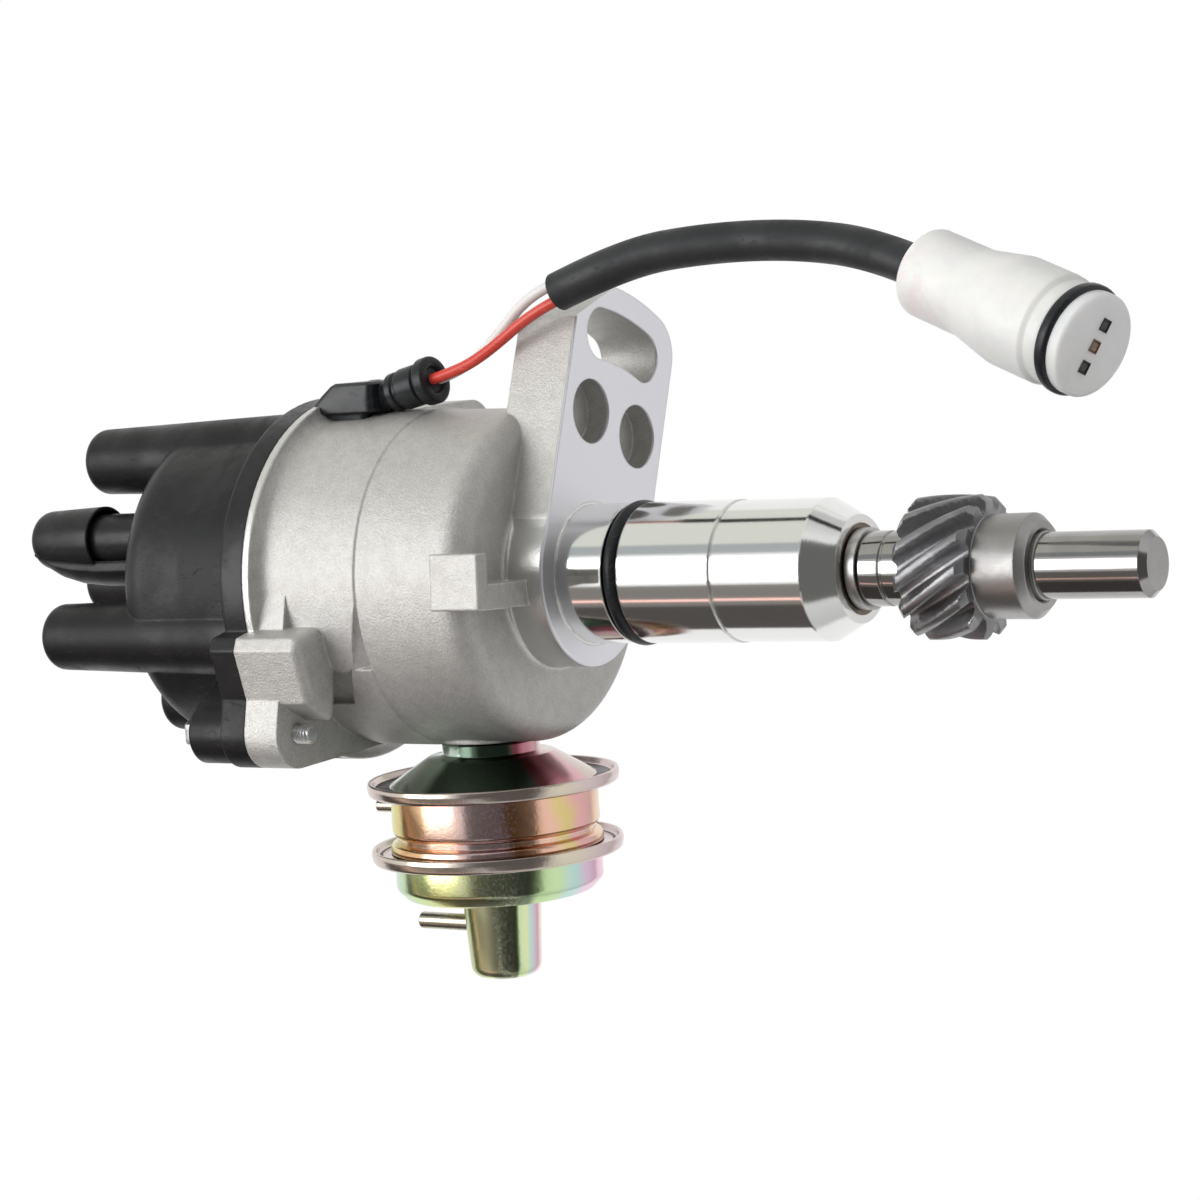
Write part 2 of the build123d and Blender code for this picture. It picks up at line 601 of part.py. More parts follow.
def housing():
    """Cast housing with every machined hole."""
    corner = BOWL_CORNER_R * FLOOR_CORNER_SHARE
    cavity = rod(BOWL_INNER_R, FLOOR_TOP + corner, JOINT_Z + 1) + turned(
        [(0, FLOOR_TOP), (BOWL_INNER_R - corner, FLOOR_TOP), (BOWL_INNER_R, FLOOR_TOP + corner),
         (0, FLOOR_TOP + corner)])
    ear_z = JOINT_Z - EAR_THICKNESS
    body = (bowl() - tongue_relief()) + (arm_plate() - rod(SHANK_R, -1, ARM_THICKNESS + 1)) + mark_lug()
    body += rim_plan(ear_z, JOINT_Z, EAR_R) + rounded_boss()
    seat_r = COVER_NECK_R + VACUUM_PLAY
    body += x_rod(seat_r, BOWL_INNER_R - 1, VACUUM_SEAT)
    body -= x_rod(seat_r, VACUUM_SEAT, BOWL_R + 1)
    pillars = [rod(PILLAR_R, FLOOR_TOP, PLATE_Z, *polar(PILLAR_RADIUS, angle)) for angle in PILLAR_ANGLES]
    shell = body - cavity - arm_slot() - arm_pockets()
    shell += [pillar & rod(BOWL_INNER_R + 0.5, FLOOR_TOP, PLATE_Z) for pillar in pillars]
    shell -= rod(BUSH_R, -SHANK_LENGTH - 1, FLOOR_TOP + 1)
    shell -= x_rod(ROD_HOLE_R, BOWL_INNER_R - 2, VACUUM_SEAT + 1)
    half = OUTLET_WIDTH / 2
    shell -= block((BOWL_INNER_R - 3, RIM_R + 1), (OUTLET_Y - half, OUTLET_Y + half),
                   (JOINT_Z - OUTLET_NOTCH_DEPTH, JOINT_Z + 1))
    for angle in EAR_ANGLES:
        shell -= rod(SCREW_R, ear_z - 1, JOINT_Z + 1, *polar(EAR_RADIUS, angle))
    for angle in PILLAR_ANGLES:
        shell -= rod(PLATE_SCREW_R, PLATE_Z - PLATE_SCREW_DEPTH, PLATE_Z + 1, *polar(PILLAR_RADIUS, angle))
    for y, z in VACUUM_SCREW_PLACES:
        shell -= x_rod(VACUUM_SCREW_R, VACUUM_SEAT - VACUUM_SCREW_DEPTH, VACUUM_SEAT + 1, y, z)
    return shell


VACUUM_SCREW_PLACES = [polar(COVER_NECK_R - VACUUM_SCREW_HEAD_R - SHEET - 0.3, angle)
                       for angle in (60.0, 240.0)]


# ---------------------------------------------------------------- shaft line
def drive_shaft():
    """Steel shaft with its lower pilot end and the spigot that carries the cam sleeve."""
    end, pilot_r, pilot_top = -SHAFT_END_DEPTH, SHAFT_R - PILOT_STEP, GEAR_HUB_BOTTOM - 2 * PART_GAP
    shaft = turned([(0, end), (pilot_r - SHAFT_CHAMFER, end), (pilot_r, end + SHAFT_CHAMFER),
                    (pilot_r, pilot_top),
                    (SHAFT_R, pilot_top), (SHAFT_R, GOVERNOR_TOP), (SPIGOT_R, GOVERNOR_TOP),
                    (SPIGOT_R, SPIGOT_TOP), (0, SPIGOT_TOP)])
    shaft -= rod(CAM_SCREW_R, SPIGOT_TOP - CAM_SCREW_LENGTH, SPIGOT_TOP + 1)
    return shaft - gear_pin()


def gear_pin():
    """Cross pin that holds the gear on the shaft, flush with the hub."""
    height = GEAR_BOTTOM - GEAR_HUB_LENGTH / 2
    return Pos(0, 0, height) * Rot(0, 90, 0) * Cylinder(GEAR_PIN_R, 2 * GEAR_HUB_R - 0.6)


def drive_gear():
    """Helical gear, its lower hub and its upper collar."""
    corners = []
    pitch = 360 / GEAR_TEETH
    for tooth in range(GEAR_TEETH):
        for radius, share in ((GEAR_ROOT_R, -0.36), (GEAR_R, -0.19), (GEAR_R, 0.19), (GEAR_ROOT_R, 0.36)):
            corners.append((*polar(radius, (tooth + share) * pitch), 0))
    section = make_face(Polyline(*corners, close=True))
    slices = 4
    sections = [Pos(0, 0, GEAR_BOTTOM + GEAR_WIDTH * step / slices) * Rot(0, 0, GEAR_TWIST * step / slices)
                * section for step in range(slices + 1)]
    teeth = loft(sections, ruled=True)
    hub = turned([(0, GEAR_HUB_BOTTOM), (GEAR_HUB_R - GEAR_HUB_CHAMFER, GEAR_HUB_BOTTOM),
                  (GEAR_HUB_R, GEAR_HUB_BOTTOM + GEAR_HUB_CHAMFER), (GEAR_HUB_R, GEAR_BOTTOM + 1),
                  (0, GEAR_BOTTOM + 1)])
    collar = rod(GEAR_COLLAR_R, -GEAR_TOP_DEPTH - 1, -SHANK_LENGTH - WASHER_THICKNESS - PART_GAP)
    gear = teeth + hub + collar - rod(SHAFT_R, GEAR_HUB_BOTTOM - 1, -SHANK_LENGTH)
    return gear - gear_pin()


def build_shaft_line():
    """Housing bushes, seals, shaft and gear."""
    save(housing(), "housing")
    ring_r = SHANK_R + O_RING_PROUD - O_RING_SECTION / 2
    save(Pos(0, 0, -O_RING_DEPTH) * Torus(ring_r, O_RING_SECTION / 2), "shank_o_ring")
    bore = SHAFT_R + RUNNING_FIT
    save(tube(BUSH_R, bore, FLOOR_TOP - UPPER_BUSH_LENGTH, FLOOR_TOP), "upper_bush")
    seal_top = FLOOR_TOP - UPPER_BUSH_LENGTH
    save(tube(BUSH_R, bore, seal_top - SEAL_LENGTH, seal_top), "shaft_seal")
    save(tube(BUSH_R, bore, -SHANK_LENGTH, -SHANK_LENGTH + LOWER_BUSH_LENGTH), "lower_bush")
    washer_low = -SHANK_LENGTH - WASHER_THICKNESS - PART_GAP
    save(tube(WASHER_R, SHAFT_R, washer_low, -SHANK_LENGTH - PART_GAP), "thrust_washer")
    save(drive_shaft(), "drive_shaft")
    save(drive_gear(), "drive_gear")
    save(gear_pin(), "gear_pin")


# ---------------------------------------------------------------- centrifugal advance
def weight():
    """One governor weight with its drive stud."""
    sector = tube(WEIGHT_OUTER_R, WEIGHT_INNER_R, WEIGHT_Z, WEIGHT_TOP)
    reach = WEIGHT_OUTER_R * 3
    wedge = plan([(0, 0), polar(reach, WEIGHT_FROM), polar(reach, (WEIGHT_FROM + WEIGHT_TO) / 2),
                  polar(reach, WEIGHT_TO)], WEIGHT_Z, WEIGHT_TOP)
    body = (sector & wedge) + rod(WEIGHT_BOSS_R, WEIGHT_Z, WEIGHT_TOP, WEIGHT_PIVOT_RADIUS)
    body -= rod(WEIGHT_PIVOT_R + RUNNING_FIT, WEIGHT_Z - 1, WEIGHT_TOP + 1, WEIGHT_PIVOT_RADIUS)
    return body + rod(STUD_R, WEIGHT_TOP - 0.5, CAM_PLATE_TOP, *polar(STUD_RADIUS, STUD_ANGLE))


def stud_track():
    """Space that the stud sweeps in the cam plate while the weight swings out and the cam advances."""
    sx, sy = polar(STUD_RADIUS, STUD_ANGLE)
    dx, dy = sx - WEIGHT_PIVOT_RADIUS, sy
    track = []
    steps = 6
    for step in range(steps + 1):
        swing = radians(-WEIGHT_SWING * step / steps)
        x = WEIGHT_PIVOT_RADIUS + dx * cos(swing) - dy * sin(swing)
        y = dx * sin(swing) + dy * cos(swing)
        cutter = rod(STUD_R + PART_GAP, CAM_PLATE_Z - 1, CAM_PLATE_TOP + 1, x, y)
        track.append(Rot(0, 0, CAM_ADVANCE * step / steps) * cutter)
    return track


def cam_sleeve():
    """Cam plate and sleeve that turn on the shaft's spigot."""
    bore = SPIGOT_R + RUNNING_FIT
    body = rod(CAM_PLATE_R, CAM_PLATE_Z, CAM_PLATE_TOP) + rod(SLEEVE_R, CAM_PLATE_TOP, SLEEVE_TOP)
    body -= rod(bore, CAM_PLATE_Z - 1, SLEEVE_TOP + 1)
    body -= rod(CAM_SCREW_HEAD_R + PART_GAP, SPIGOT_TOP - PART_GAP, SLEEVE_TOP + 1)
    track = stud_track()
    body -= track + [half_turn_copy(cutter) for cutter in track]
    post = rod(POST_R, CAM_PLATE_TOP, POST_TOP, *polar(CAM_POST_RADIUS, CAM_POST_ANGLE))
    body += [post, half_turn_copy(post)]
    return body - rotor_key()


def rotor_key():
    """Key that locks the signal rotor to the sleeve."""
    half = KEY_SIZE / 2
    return block((SLEEVE_R - half, SLEEVE_R + half), (-half, half), (SIGNAL_Z, SIGNAL_TOP))


def governor_spring():
    """Return spring between a plate post and a cam post, drawn as its envelope."""
    x1, y1 = polar(GOVERNOR_POST_RADIUS, GOVERNOR_POST_ANGLE)
    x2, y2 = polar(CAM_POST_RADIUS, CAM_POST_ANGLE)
    span = hypot(x2 - x1, y2 - y1)
    length = span - 2 * (POST_R + PART_GAP)
    place = Plane(origin=((x1 + x2) / 2, (y1 + y2) / 2, SPRING_Z), z_dir=(x2 - x1, y2 - y1, 0))
    return place * (Cylinder(SPRING_R, length) - Cylinder(SPRING_R - SPRING_WIRE, length + 1))


def build_advance():
    """Governor plate, weights, springs and cam sleeve."""
    pin = rod(WEIGHT_PIVOT_R, GOVERNOR_Z, WEIGHT_TOP, WEIGHT_PIVOT_RADIUS)
    post = rod(POST_R, GOVERNOR_TOP, POST_TOP, *polar(GOVERNOR_POST_RADIUS, GOVERNOR_POST_ANGLE))
    plate = tube(GOVERNOR_R, SHAFT_R, GOVERNOR_Z, GOVERNOR_TOP) + post + half_turn_copy(post)
    save(plate - pin - half_turn_copy(pin), "governor_plate")
    save(group([pin, half_turn_copy(pin)]), "weight_pins")
    save(weight(), "governor_weight_1")
    save(half_turn_copy(weight()), "governor_weight_2")
    save(governor_spring(), "governor_spring_1")
    save(half_turn_copy(governor_spring()), "governor_spring_2")
    save(cam_sleeve(), "cam_sleeve")
    screw = rod(CAM_SCREW_R, SPIGOT_TOP - CAM_SCREW_LENGTH, SPIGOT_TOP)
    save(screw + rod(CAM_SCREW_HEAD_R, SPIGOT_TOP, SPIGOT_TOP + 2.2), "cam_screw")


# ---------------------------------------------------------------- plates and pickup
def signal_rotor():
    """Toothed wheel that passes the pickup."""
    wheel = tube(SIGNAL_HUB_R, SLEEVE_R, SIGNAL_Z, SIGNAL_TOP)
    half = SIGNAL_TOOTH_WIDTH / 2
    tooth = block((SLEEVE_R + 1, SIGNAL_R), (-half, half), (SIGNAL_Z, SIGNAL_TOP))
    wheel += [Rot(0, 0, 360 / SIGNAL_TEETH * (index + 0.5)) * tooth for index in range(SIGNAL_TEETH)]
    return wheel - rotor_key()


def at_pickup(shape):
    """Turn a shape built on +X to the pickup's side."""
    return Rot(0, 0, PICKUP_ANGLE) * shape


def build_plates():
    """Fixed plate, turning pickup plate and the pickup on it."""
    fixed = tube(BOWL_INNER_R, PLATE_BORE_R, PLATE_Z, PLATE_TOP)
    fixed += tube(PLATE_COLLAR_R, PLATE_BORE_R, PLATE_TOP - 0.5, PICKUP_TOP + PART_GAP + RETAINER_THICKNESS)
    screws = []
    for angle in PILLAR_ANGLES:
        x, y = polar(PILLAR_RADIUS, angle)
        fixed -= rod(PLATE_SCREW_R, PLATE_Z - 1, PLATE_TOP + 1, x, y)
        head_top = PLATE_TOP + PLATE_SCREW_HEAD
        head = rod(PLATE_SCREW_HEAD_R, PLATE_TOP, head_top, x, y)
        head &= rod(BOWL_INNER_R - PART_GAP, PLATE_TOP, head_top)
        screws.append(rod(PLATE_SCREW_R, PLATE_Z - PLATE_SCREW_DEPTH, PLATE_TOP, x, y) + head)
    save(fixed, "fixed_plate")
    save(group(screws), "plate_screws")
    retainer_z = PICKUP_TOP + PART_GAP
    save(tube(RETAINER_R, PLATE_COLLAR_R, retainer_z, retainer_z + RETAINER_THICKNESS), "plate_retainer")

    pin_x, pin_y = polar(ROD_PIN_RADIUS, ROD_PIN_ANGLE)
    plate = tube(PICKUP_PLATE_R, PLATE_COLLAR_R + RUNNING_FIT, PICKUP_Z, PICKUP_TOP)
    core_x = SIGNAL_R + AIR_GAP
    foot_z = PICKUP_TOP
    foot_top = foot_z + PICKUP_FOOT
    screw_x = core_x + CORE_THICKNESS + PICKUP_SCREW_SETBACK
    screw_places = [(screw_x, side * PICKUP_SCREW_SPREAD) for side in (-1, 1)]
    holes = [rod(PICKUP_SCREW_R, PICKUP_Z - 1, foot_top + 1, x, y) for x, y in screw_places]
    pin = rod(ROD_PIN_R, PICKUP_Z, PICKUP_TOP + ROD_PIN_HEIGHT, pin_x, pin_y)
    save(plate - [at_pickup(hole) for hole in holes] - pin, "pickup_plate")
    save(pin, "rod_pin")
    clip_z = ROD_Z + ROD_THICKNESS + PART_GAP
    save(tube(CLIP_R, ROD_PIN_R, clip_z, clip_z + CLIP_THICKNESS, pin_x, pin_y), "rod_e_clip")

    half = CORE_WIDTH / 2
    pole_z = SIGNAL_Z + SIGNAL_HEIGHT / 2
    core = block((core_x, core_x + CORE_THICKNESS), (-half, half), (foot_z, SIGNAL_TOP - 1))
    foot_half = PICKUP_SCREW_SPREAD + PICKUP_FOOT_MARGIN
    core += block((core_x, screw_x + PICKUP_FOOT_MARGIN), (-foot_half, foot_half), (foot_z, foot_top))
    core -= holes
    coil_x = core_x + CORE_THICKNESS
    coil = Pos(coil_x + COIL_LENGTH / 2, 0, pole_z) * Rot(0, 90, 0) * Cylinder(COIL_R, COIL_LENGTH)
    magnet = block((coil_x, coil_x + COIL_LENGTH), (-half, half),
                   (foot_top, foot_top + MAGNET_THICKNESS))
    heads = [rod(PICKUP_SCREW_R, PICKUP_Z, foot_top, x, y)
             + rod(PICKUP_SCREW_HEAD_R, foot_top, foot_top + PICKUP_SCREW_HEAD, x, y)
              for x, y in screw_places]
    save(at_pickup(core), "pickup_core")
    save(at_pickup(coil), "pickup_coil")
    save(at_pickup(magnet - heads), "pickup_magnet")
    save(group([at_pickup(head) for head in heads]), "pickup_screws")
    save(signal_rotor(), "signal_rotor")
    save(rotor_key(), "rotor_key")


# ---------------------------------------------------------------- rotor and cap
def build_rotor():
    """Rotor arm with its brass blade."""
    hub_low = SLEEVE_TOP
    hub = rod(ROTOR_HUB_R, hub_low, ROTOR_ARM_Z + ROTOR_ARM_THICKNESS)
    socket = rod(SLEEVE_R - 1.5, hub_low - 1, hub_low + 6)
    angle = TOWER_ANGLE - 45
    half = ROTOR_ARM_WIDTH / 2
    reach = TOWER_RADIUS - ELECTRODE_HEAD_R - ROTOR_TOP_GAP
    arm = block((0, reach - 3), (-half, half), (ROTOR_ARM_Z, BLADE_Z))
    weight_side = rod(ROTOR_HUB_R + 3, ROTOR_ARM_Z, BLADE_Z)
    save(Rot(0, 0, angle) * (hub + arm + weight_side - socket), "rotor_arm")
    blade = block((0, reach), (-BLADE_WIDTH / 2, BLADE_WIDTH / 2), (BLADE_Z, CONTACT_TOP))
    save(Rot(0, 0, angle) * (blade + rod(CONTACT_R, BLADE_Z, CONTACT_TOP)), "rotor_blade")
    save(tube(SLEEVE_R - 1.5, CAM_SCREW_HEAD_R + 0.3, SLEEVE_TOP, SLEEVE_TOP + 4), "rotor_spring_clip")


def tower_places():
    """Centres of the outer towers."""
    return [polar(TOWER_RADIUS, TOWER_ANGLE - index * 360 / TOWER_COUNT) for index in range(TOWER_COUNT)]


def tower(base_r, base_z, tip_z, x=0.0, y=0.0):
    """Tapered lead tower with a rounded mouth."""
    shape = turned([(0, base_z), (base_r, base_z), (TOWER_TIP_R, tip_z, TOWER_ROUND), (0, tip_z)])
    return Pos(x, y, 0) * shape


def lead_socket(low, floor, tip, x=0.0, y=0.0):
    """Everything bored in a tower: stem hole, seat of the terminal cup and the lead's socket."""
    seat = rod(STEM_R, low, floor + 1, x, y) + rod(CUP_OUTER_R, floor, tip, x, y)
    return seat + rod(SOCKET_R, floor + CUP_HEIGHT, tip + 1, x, y)


def distributor_cap():
    """Moulded cap with towers, ears and bores."""
    flange_top = JOINT_Z + CAP_FLANGE
    dome = turned([(0, JOINT_Z), (RIM_R, JOINT_Z), (RIM_R, flange_top, 1.2), (DOME_R, flange_top + 0.6, 0.5),
                   (DOME_TOP_R, DOME_TOP_Z - 0.6, DOME_SHOULDER), (0, DOME_TOP_Z)])
    cap = dome + rim_plan(JOINT_Z, flange_top, EAR_R) + boss_block(JOINT_Z, flange_top)
    for angle in EAR_ANGLES:
        x, y = polar(EAR_RADIUS, angle)
        cap += hull_between((*polar(DOME_R - 6, angle), 5.0), (x, y, CAP_EAR_R), JOINT_Z, CAP_EAR_TOP)
    for x, y in tower_places():
        cap += tower(TOWER_BASE_R, flange_top - 1, TOWER_TIP_Z, x, y)
    cap += tower(CENTER_BASE_R, DOME_TOP_Z - 2, CENTER_TIP_Z)
    cap -= turned([(0, JOINT_Z - 1), (CAP_INNER_R, JOINT_Z - 1), (CAP_INNER_R - DOME_TAPER, CEILING_Z, 3.0),
                   (0, CEILING_Z)])
    for x, y in tower_places():
        cap += rod(ELECTRODE_HEAD_R + 1.6, ELECTRODE_Z + ELECTRODE_HEAD, CEILING_Z + 1, x, y)
        cap -= lead_socket(ELECTRODE_Z, SOCKET_FLOOR, TOWER_TIP_Z, x, y)
    cap += rod(BRUSH_BOSS_R, BRUSH_TOP - 4, CEILING_Z + 1)
    cap -= rod(BRUSH_R + RUNNING_FIT, BRUSH_TOP - 5, CENTER_HEAD_Z)
    cap -= lead_socket(CENTER_HEAD_Z - 1, CENTER_SOCKET_FLOOR, CENTER_TIP_Z)
    for angle in EAR_ANGLES:
        cap -= rod(SCREW_R + HOLE_PLAY, JOINT_Z - 1, CAP_EAR_TOP + 1, *polar(EAR_RADIUS, angle))
    return cap - cap_seal(JOINT_Z - 1)


def cap_seal(low):
    """Flat seal ring, or its groove, from a height up to the groove's floor."""
    inner = CAP_INNER_R + SEAL_INSET
    return tube(inner + SEAL_SECTION, inner, low, JOINT_Z + SEAL_SECTION)


def terminal(low, floor, x=0.0, y=0.0, head_r=0.0, head=0.0):
    """Brass terminal: head inside the cap, stem, and cup in the tower's socket."""
    shape = rod(STEM_R, low, floor, x, y) + tube(CUP_OUTER_R, CUP_BORE_R, floor, floor + CUP_HEIGHT, x, y)
    shape += rod(CUP_OUTER_R, floor, floor + 1, x, y)
    if head:
        shape += rod(head_r, low, low + head, x, y)
    return shape


def breather_hood():
    """Hood over the cap's breather neck, with the slanted flap on its side."""
    base_z, tip = DOME_TOP_Z, HOOD_TIP_Z
    hood_low, roof_z = tip - HOOD_LENGTH, tip - HOOD_ROOF
    shell = turned([(0, tip), (HOOD_TIP_R, tip, HOOD_ROUND), (HOOD_R, hood_low),
                    (HOOD_R - HOOD_WALL, hood_low),
                    (HOOD_TIP_R - HOOD_WALL, roof_z), (0, roof_z)])
    neck = tube(HOOD_NECK_R, HOOD_NECK_R - HOOD_NECK_WALL, base_z, roof_z)
    half = HOOD_FLAP_WIDTH / 2
    flap_foot = base_z + HOOD_FLAP_LIFT
    outline = [(-HOOD_TIP_R + 1.2, -half, tip - 1), (-HOOD_R - 0.8, -half, tip - HOOD_ROOF),
               (-HOOD_FLAP_REACH, -half, hood_low), (-HOOD_FLAP_REACH, -half, flap_foot),
               (-HOOD_NECK_R + 0.6, -half, flap_foot)]
    flap = extrude(make_face(Polyline(*outline, close=True)), HOOD_FLAP_WIDTH, dir=(0, 1, 0))
    passage = rod(HOOD_NECK_R - HOOD_NECK_WALL, base_z - 1, roof_z - 1)
    return Pos(HOOD_X, HOOD_Y, 0) * (shell + neck + flap - passage)


def build_cap():
    """Cap, its terminals, brush, seal, hood and screws."""
    save(distributor_cap(), "distributor_cap")
    save(cap_seal(JOINT_Z), "cap_seal")
    save(group([terminal(ELECTRODE_Z, SOCKET_FLOOR, x, y, ELECTRODE_HEAD_R, ELECTRODE_HEAD)
                for x, y in tower_places()]), "cap_terminals")
    save(terminal(CENTER_HEAD_Z, CENTER_SOCKET_FLOOR), "center_terminal")
    save(rod(BRUSH_R, BRUSH_Z, BRUSH_TOP), "carbon_brush")
    spring_low = BRUSH_TOP + BRUSH_TRAVEL + 0.2
    save(tube(BRUSH_R - 0.2, BRUSH_R - 0.8, spring_low, CENTER_HEAD_Z), "brush_spring")
    save(breather_hood(), "breather_hood")
    tip_z = JOINT_Z - EAR_THICKNESS - SCREW_TIP_OUT
    for index, angle in enumerate(EAR_ANGLES, start=1):
        x, y = polar(EAR_RADIUS, angle)
        head = rod(SCREW_HEAD_R, CAP_EAR_TOP, CAP_EAR_TOP + SCREW_HEAD_HEIGHT, x, y)
        head -= Pos(x, y, CAP_EAR_TOP + SCREW_HEAD_HEIGHT) * Box(SCREW_SLOT_LENGTH, SCREW_SLOT_WIDTH,
                                                                 2 * SCREW_SLOT_DEPTH)
        save(rod(SCREW_R, tip_z, CAP_EAR_TOP, x, y) + head, f"cap_screw_{index}")


# ---------------------------------------------------------------- vacuum unit
def nipple(radius, foot_z, tip_z, distance):
    """Hose nipple with its brazed collar, and the same shape without the passage as a cutter."""
    collar = rod(radius + NIPPLE_COLLAR, foot_z - NIPPLE_ROOT, foot_z + NIPPLE_COLLAR, -distance)
    solid = rod(radius, foot_z - NIPPLE_ROOT, tip_z, -distance) + collar
    return solid - rod(radius - NIPPLE_WALL, foot_z - NIPPLE_ROOT - 1, tip_z + 1, -distance), solid


def build_vacuum():
    """Pressed shells, diaphragms, springs, rod and hose nipples of the vacuum advance unit."""
    seat, neck_end = VACUUM_SEAT, VACUUM_SEAT + COVER_NECK_LENGTH
    rim_in = RING_R - SHEET
    flange_r = rim_in - 0.05
    screw_holes = [x_rod(VACUUM_SCREW_R, seat - 1, seat + 2, y, z) for y, z in VACUUM_SCREW_PLACES]
    cover = turned_along_x([
        (seat, ROD_HOLE_R), (seat, COVER_NECK_R), (neck_end, COVER_NECK_R),
        (neck_end + 0.4, COVER_TOP_R, 1.0),
        (RING_1 - SHEET, COVER_FOOT_R), (RING_1 - SHEET, flange_r), (RING_1, flange_r),
        (RING_1, COVER_FOOT_R - SHEET),
        (neck_end + SHEET + 0.5, COVER_TOP_R - SHEET), (neck_end + SHEET, COVER_NECK_R - SHEET),
        (seat + SHEET, COVER_NECK_R - SHEET), (seat + SHEET, ROD_HOLE_R)])
    save(cover - screw_holes, "vacuum_cover")
    save(group([x_rod(VACUUM_SCREW_R, seat - VACUUM_SCREW_DEPTH, seat + SHEET, y, z)
                + x_rod(VACUUM_SCREW_HEAD_R, seat + SHEET, seat + SHEET + VACUUM_SCREW_HEAD, y, z)
                for y, z in VACUUM_SCREW_PLACES]), "vacuum_screws")

    nipple_1, cutter_1 = nipple(NIPPLE_1_R, VACUUM_Z + CAN_R, NIPPLE_1_TIP, NIPPLE_1_X)
    nipple_2, cutter_2 = nipple(NIPPLE_2_R, VACUUM_Z + CUP_R, NIPPLE_2_TIP, NIPPLE_2_X)
    inner = CAN_R - SHEET
    flange_1, flange_2 = RING_1 + DIAPHRAGM, RING_2 - SHEET
    lip_1, lip_2 = RING_1 - SHEET - RING_LIP, RING_2 - SHEET - RING_LIP
    middle = turned_along_x([
        (lip_1, rim_in), (lip_1, RING_R), (flange_1 + SHEET, RING_R, 0.4), (flange_1 + SHEET, CAN_R, 0.6),
        (MIDDLE_FLOOR - 0.8, CAN_R, 0.8), (MIDDLE_FLOOR, CAN_R - 1.2, 0.3), (MIDDLE_FLOOR + 0.6, CAN_R, 0.5),
        (flange_2, CAN_R + 0.3, 0.5), (flange_2, flange_r), (RING_2, flange_r),
        (RING_2, inner - 1.0), (MIDDLE_FLOOR + SHEET, inner - 1.0), (MIDDLE_FLOOR + SHEET, 4.0),
        (MIDDLE_FLOOR, 4.0),
        (MIDDLE_FLOOR, inner - 1.2), (MIDDLE_FLOOR - 1.6, inner), (flange_1, inner), (flange_1, rim_in)])
    save(middle - cutter_1, "vacuum_can_middle")
    outer_face = RING_2 + DIAPHRAGM
    outer = turned_along_x([
        (lip_2, RING_R), (outer_face + SHEET, RING_R, 0.4), (outer_face + SHEET, CAN_R, 0.6),
        (CAN_END, CAN_R, 3.4),
        (CAN_END, CUP_R, 0.5), (CUP_END, CUP_TIP_R, 2.4), (CUP_END, 0), (CUP_END - SHEET, 0),
        (CUP_END - SHEET, CUP_TIP_R - SHEET, 1.4), (CAN_END - SHEET, CUP_R - SHEET),
        (CAN_END - SHEET, inner, 2.4),
        (outer_face, inner), (outer_face, rim_in), (lip_2, rim_in)])
    save(outer - cutter_2, "vacuum_can_outer")
    save(nipple_1, "hose_nipple_upper")
    save(nipple_2, "hose_nipple_lower")

    main = x_rod(flange_r, RING_1, RING_1 + DIAPHRAGM) - x_rod(ROD_R + PART_GAP, RING_1 - 1, RING_1 + 2)
    save(main, "diaphragm_main")
    save(x_rod(flange_r, RING_2, outer_face), "diaphragm_sub")
    dish_x = RING_1 + DIAPHRAGM + PART_GAP
    travel = ROD_PIN_RADIUS * (cos(radians(ROD_PIN_ANGLE - PLATE_ADVANCE)) - cos(radians(ROD_PIN_ANGLE)))
    spring_near = dish_x + DISH_THICKNESS + abs(travel) + 2 * PART_GAP
    spring = x_rod(VACUUM_SPRING_R, spring_near, MIDDLE_FLOOR)
    save(spring - x_rod(VACUUM_SPRING_R - VACUUM_SPRING_WIRE, spring_near - 1, MIDDLE_FLOOR + 1),
         "vacuum_spring")
    spring = x_rod(CUP_SPRING_R, outer_face, CUP_END - SHEET)
    save(spring - x_rod(CUP_SPRING_R - CUP_SPRING_WIRE, outer_face - 1, CUP_END), "cup_spring")
    save(advance_rod(dish_x), "advance_rod")


def advance_rod(dish_x):
    """Pull rod: dish and round shank at the diaphragm, then a cranked flat strip with a slotted eye."""
    pin_x, pin_y = polar(ROD_PIN_RADIUS, ROD_PIN_ANGLE)
    end_x, end_y = polar(ROD_PIN_RADIUS, ROD_PIN_ANGLE - PLATE_ADVANCE)
    half, low, high = ROD_WIDTH / 2, ROD_Z, ROD_Z + ROD_THICKNESS
    shank_x = VACUUM_SEAT + COVER_NECK_LENGTH
    shape = x_rod(DISH_R, dish_x, dish_x + DISH_THICKNESS) + x_rod(ROD_R, shank_x - 1, dish_x + 0.5)
    shape += block((-shank_x, -ROD_KNEE_X), (-half, half), (low, high))
    shape += hull_between((-ROD_KNEE_X, 0, half), (pin_x, pin_y, half), low, high)
    shape += hull_between((pin_x, pin_y, ROD_EYE_R), (pin_x, end_y, ROD_EYE_R - 0.01), low, high)
    slot_half = ROD_PIN_R + ROD_SLOT_PLAY
    slot = hull_between((pin_x, pin_y, slot_half), (pin_x, end_y, slot_half - 0.01), low - 1, high + 1)
    return shape - slot


# ---------------------------------------------------------------- cable outlet, leads and connector
def relief_axis():
    """Foot, unit direction and length of the strain relief."""
    (x1, z1), (x2, z2) = RELIEF_FOOT, RELIEF_END
    length = hypot(x2 - x1, z2 - z1)
    return Vector(x1, RELIEF_Y, z1), Vector((x2 - x1) / length, 0, (z2 - z1) / length), length


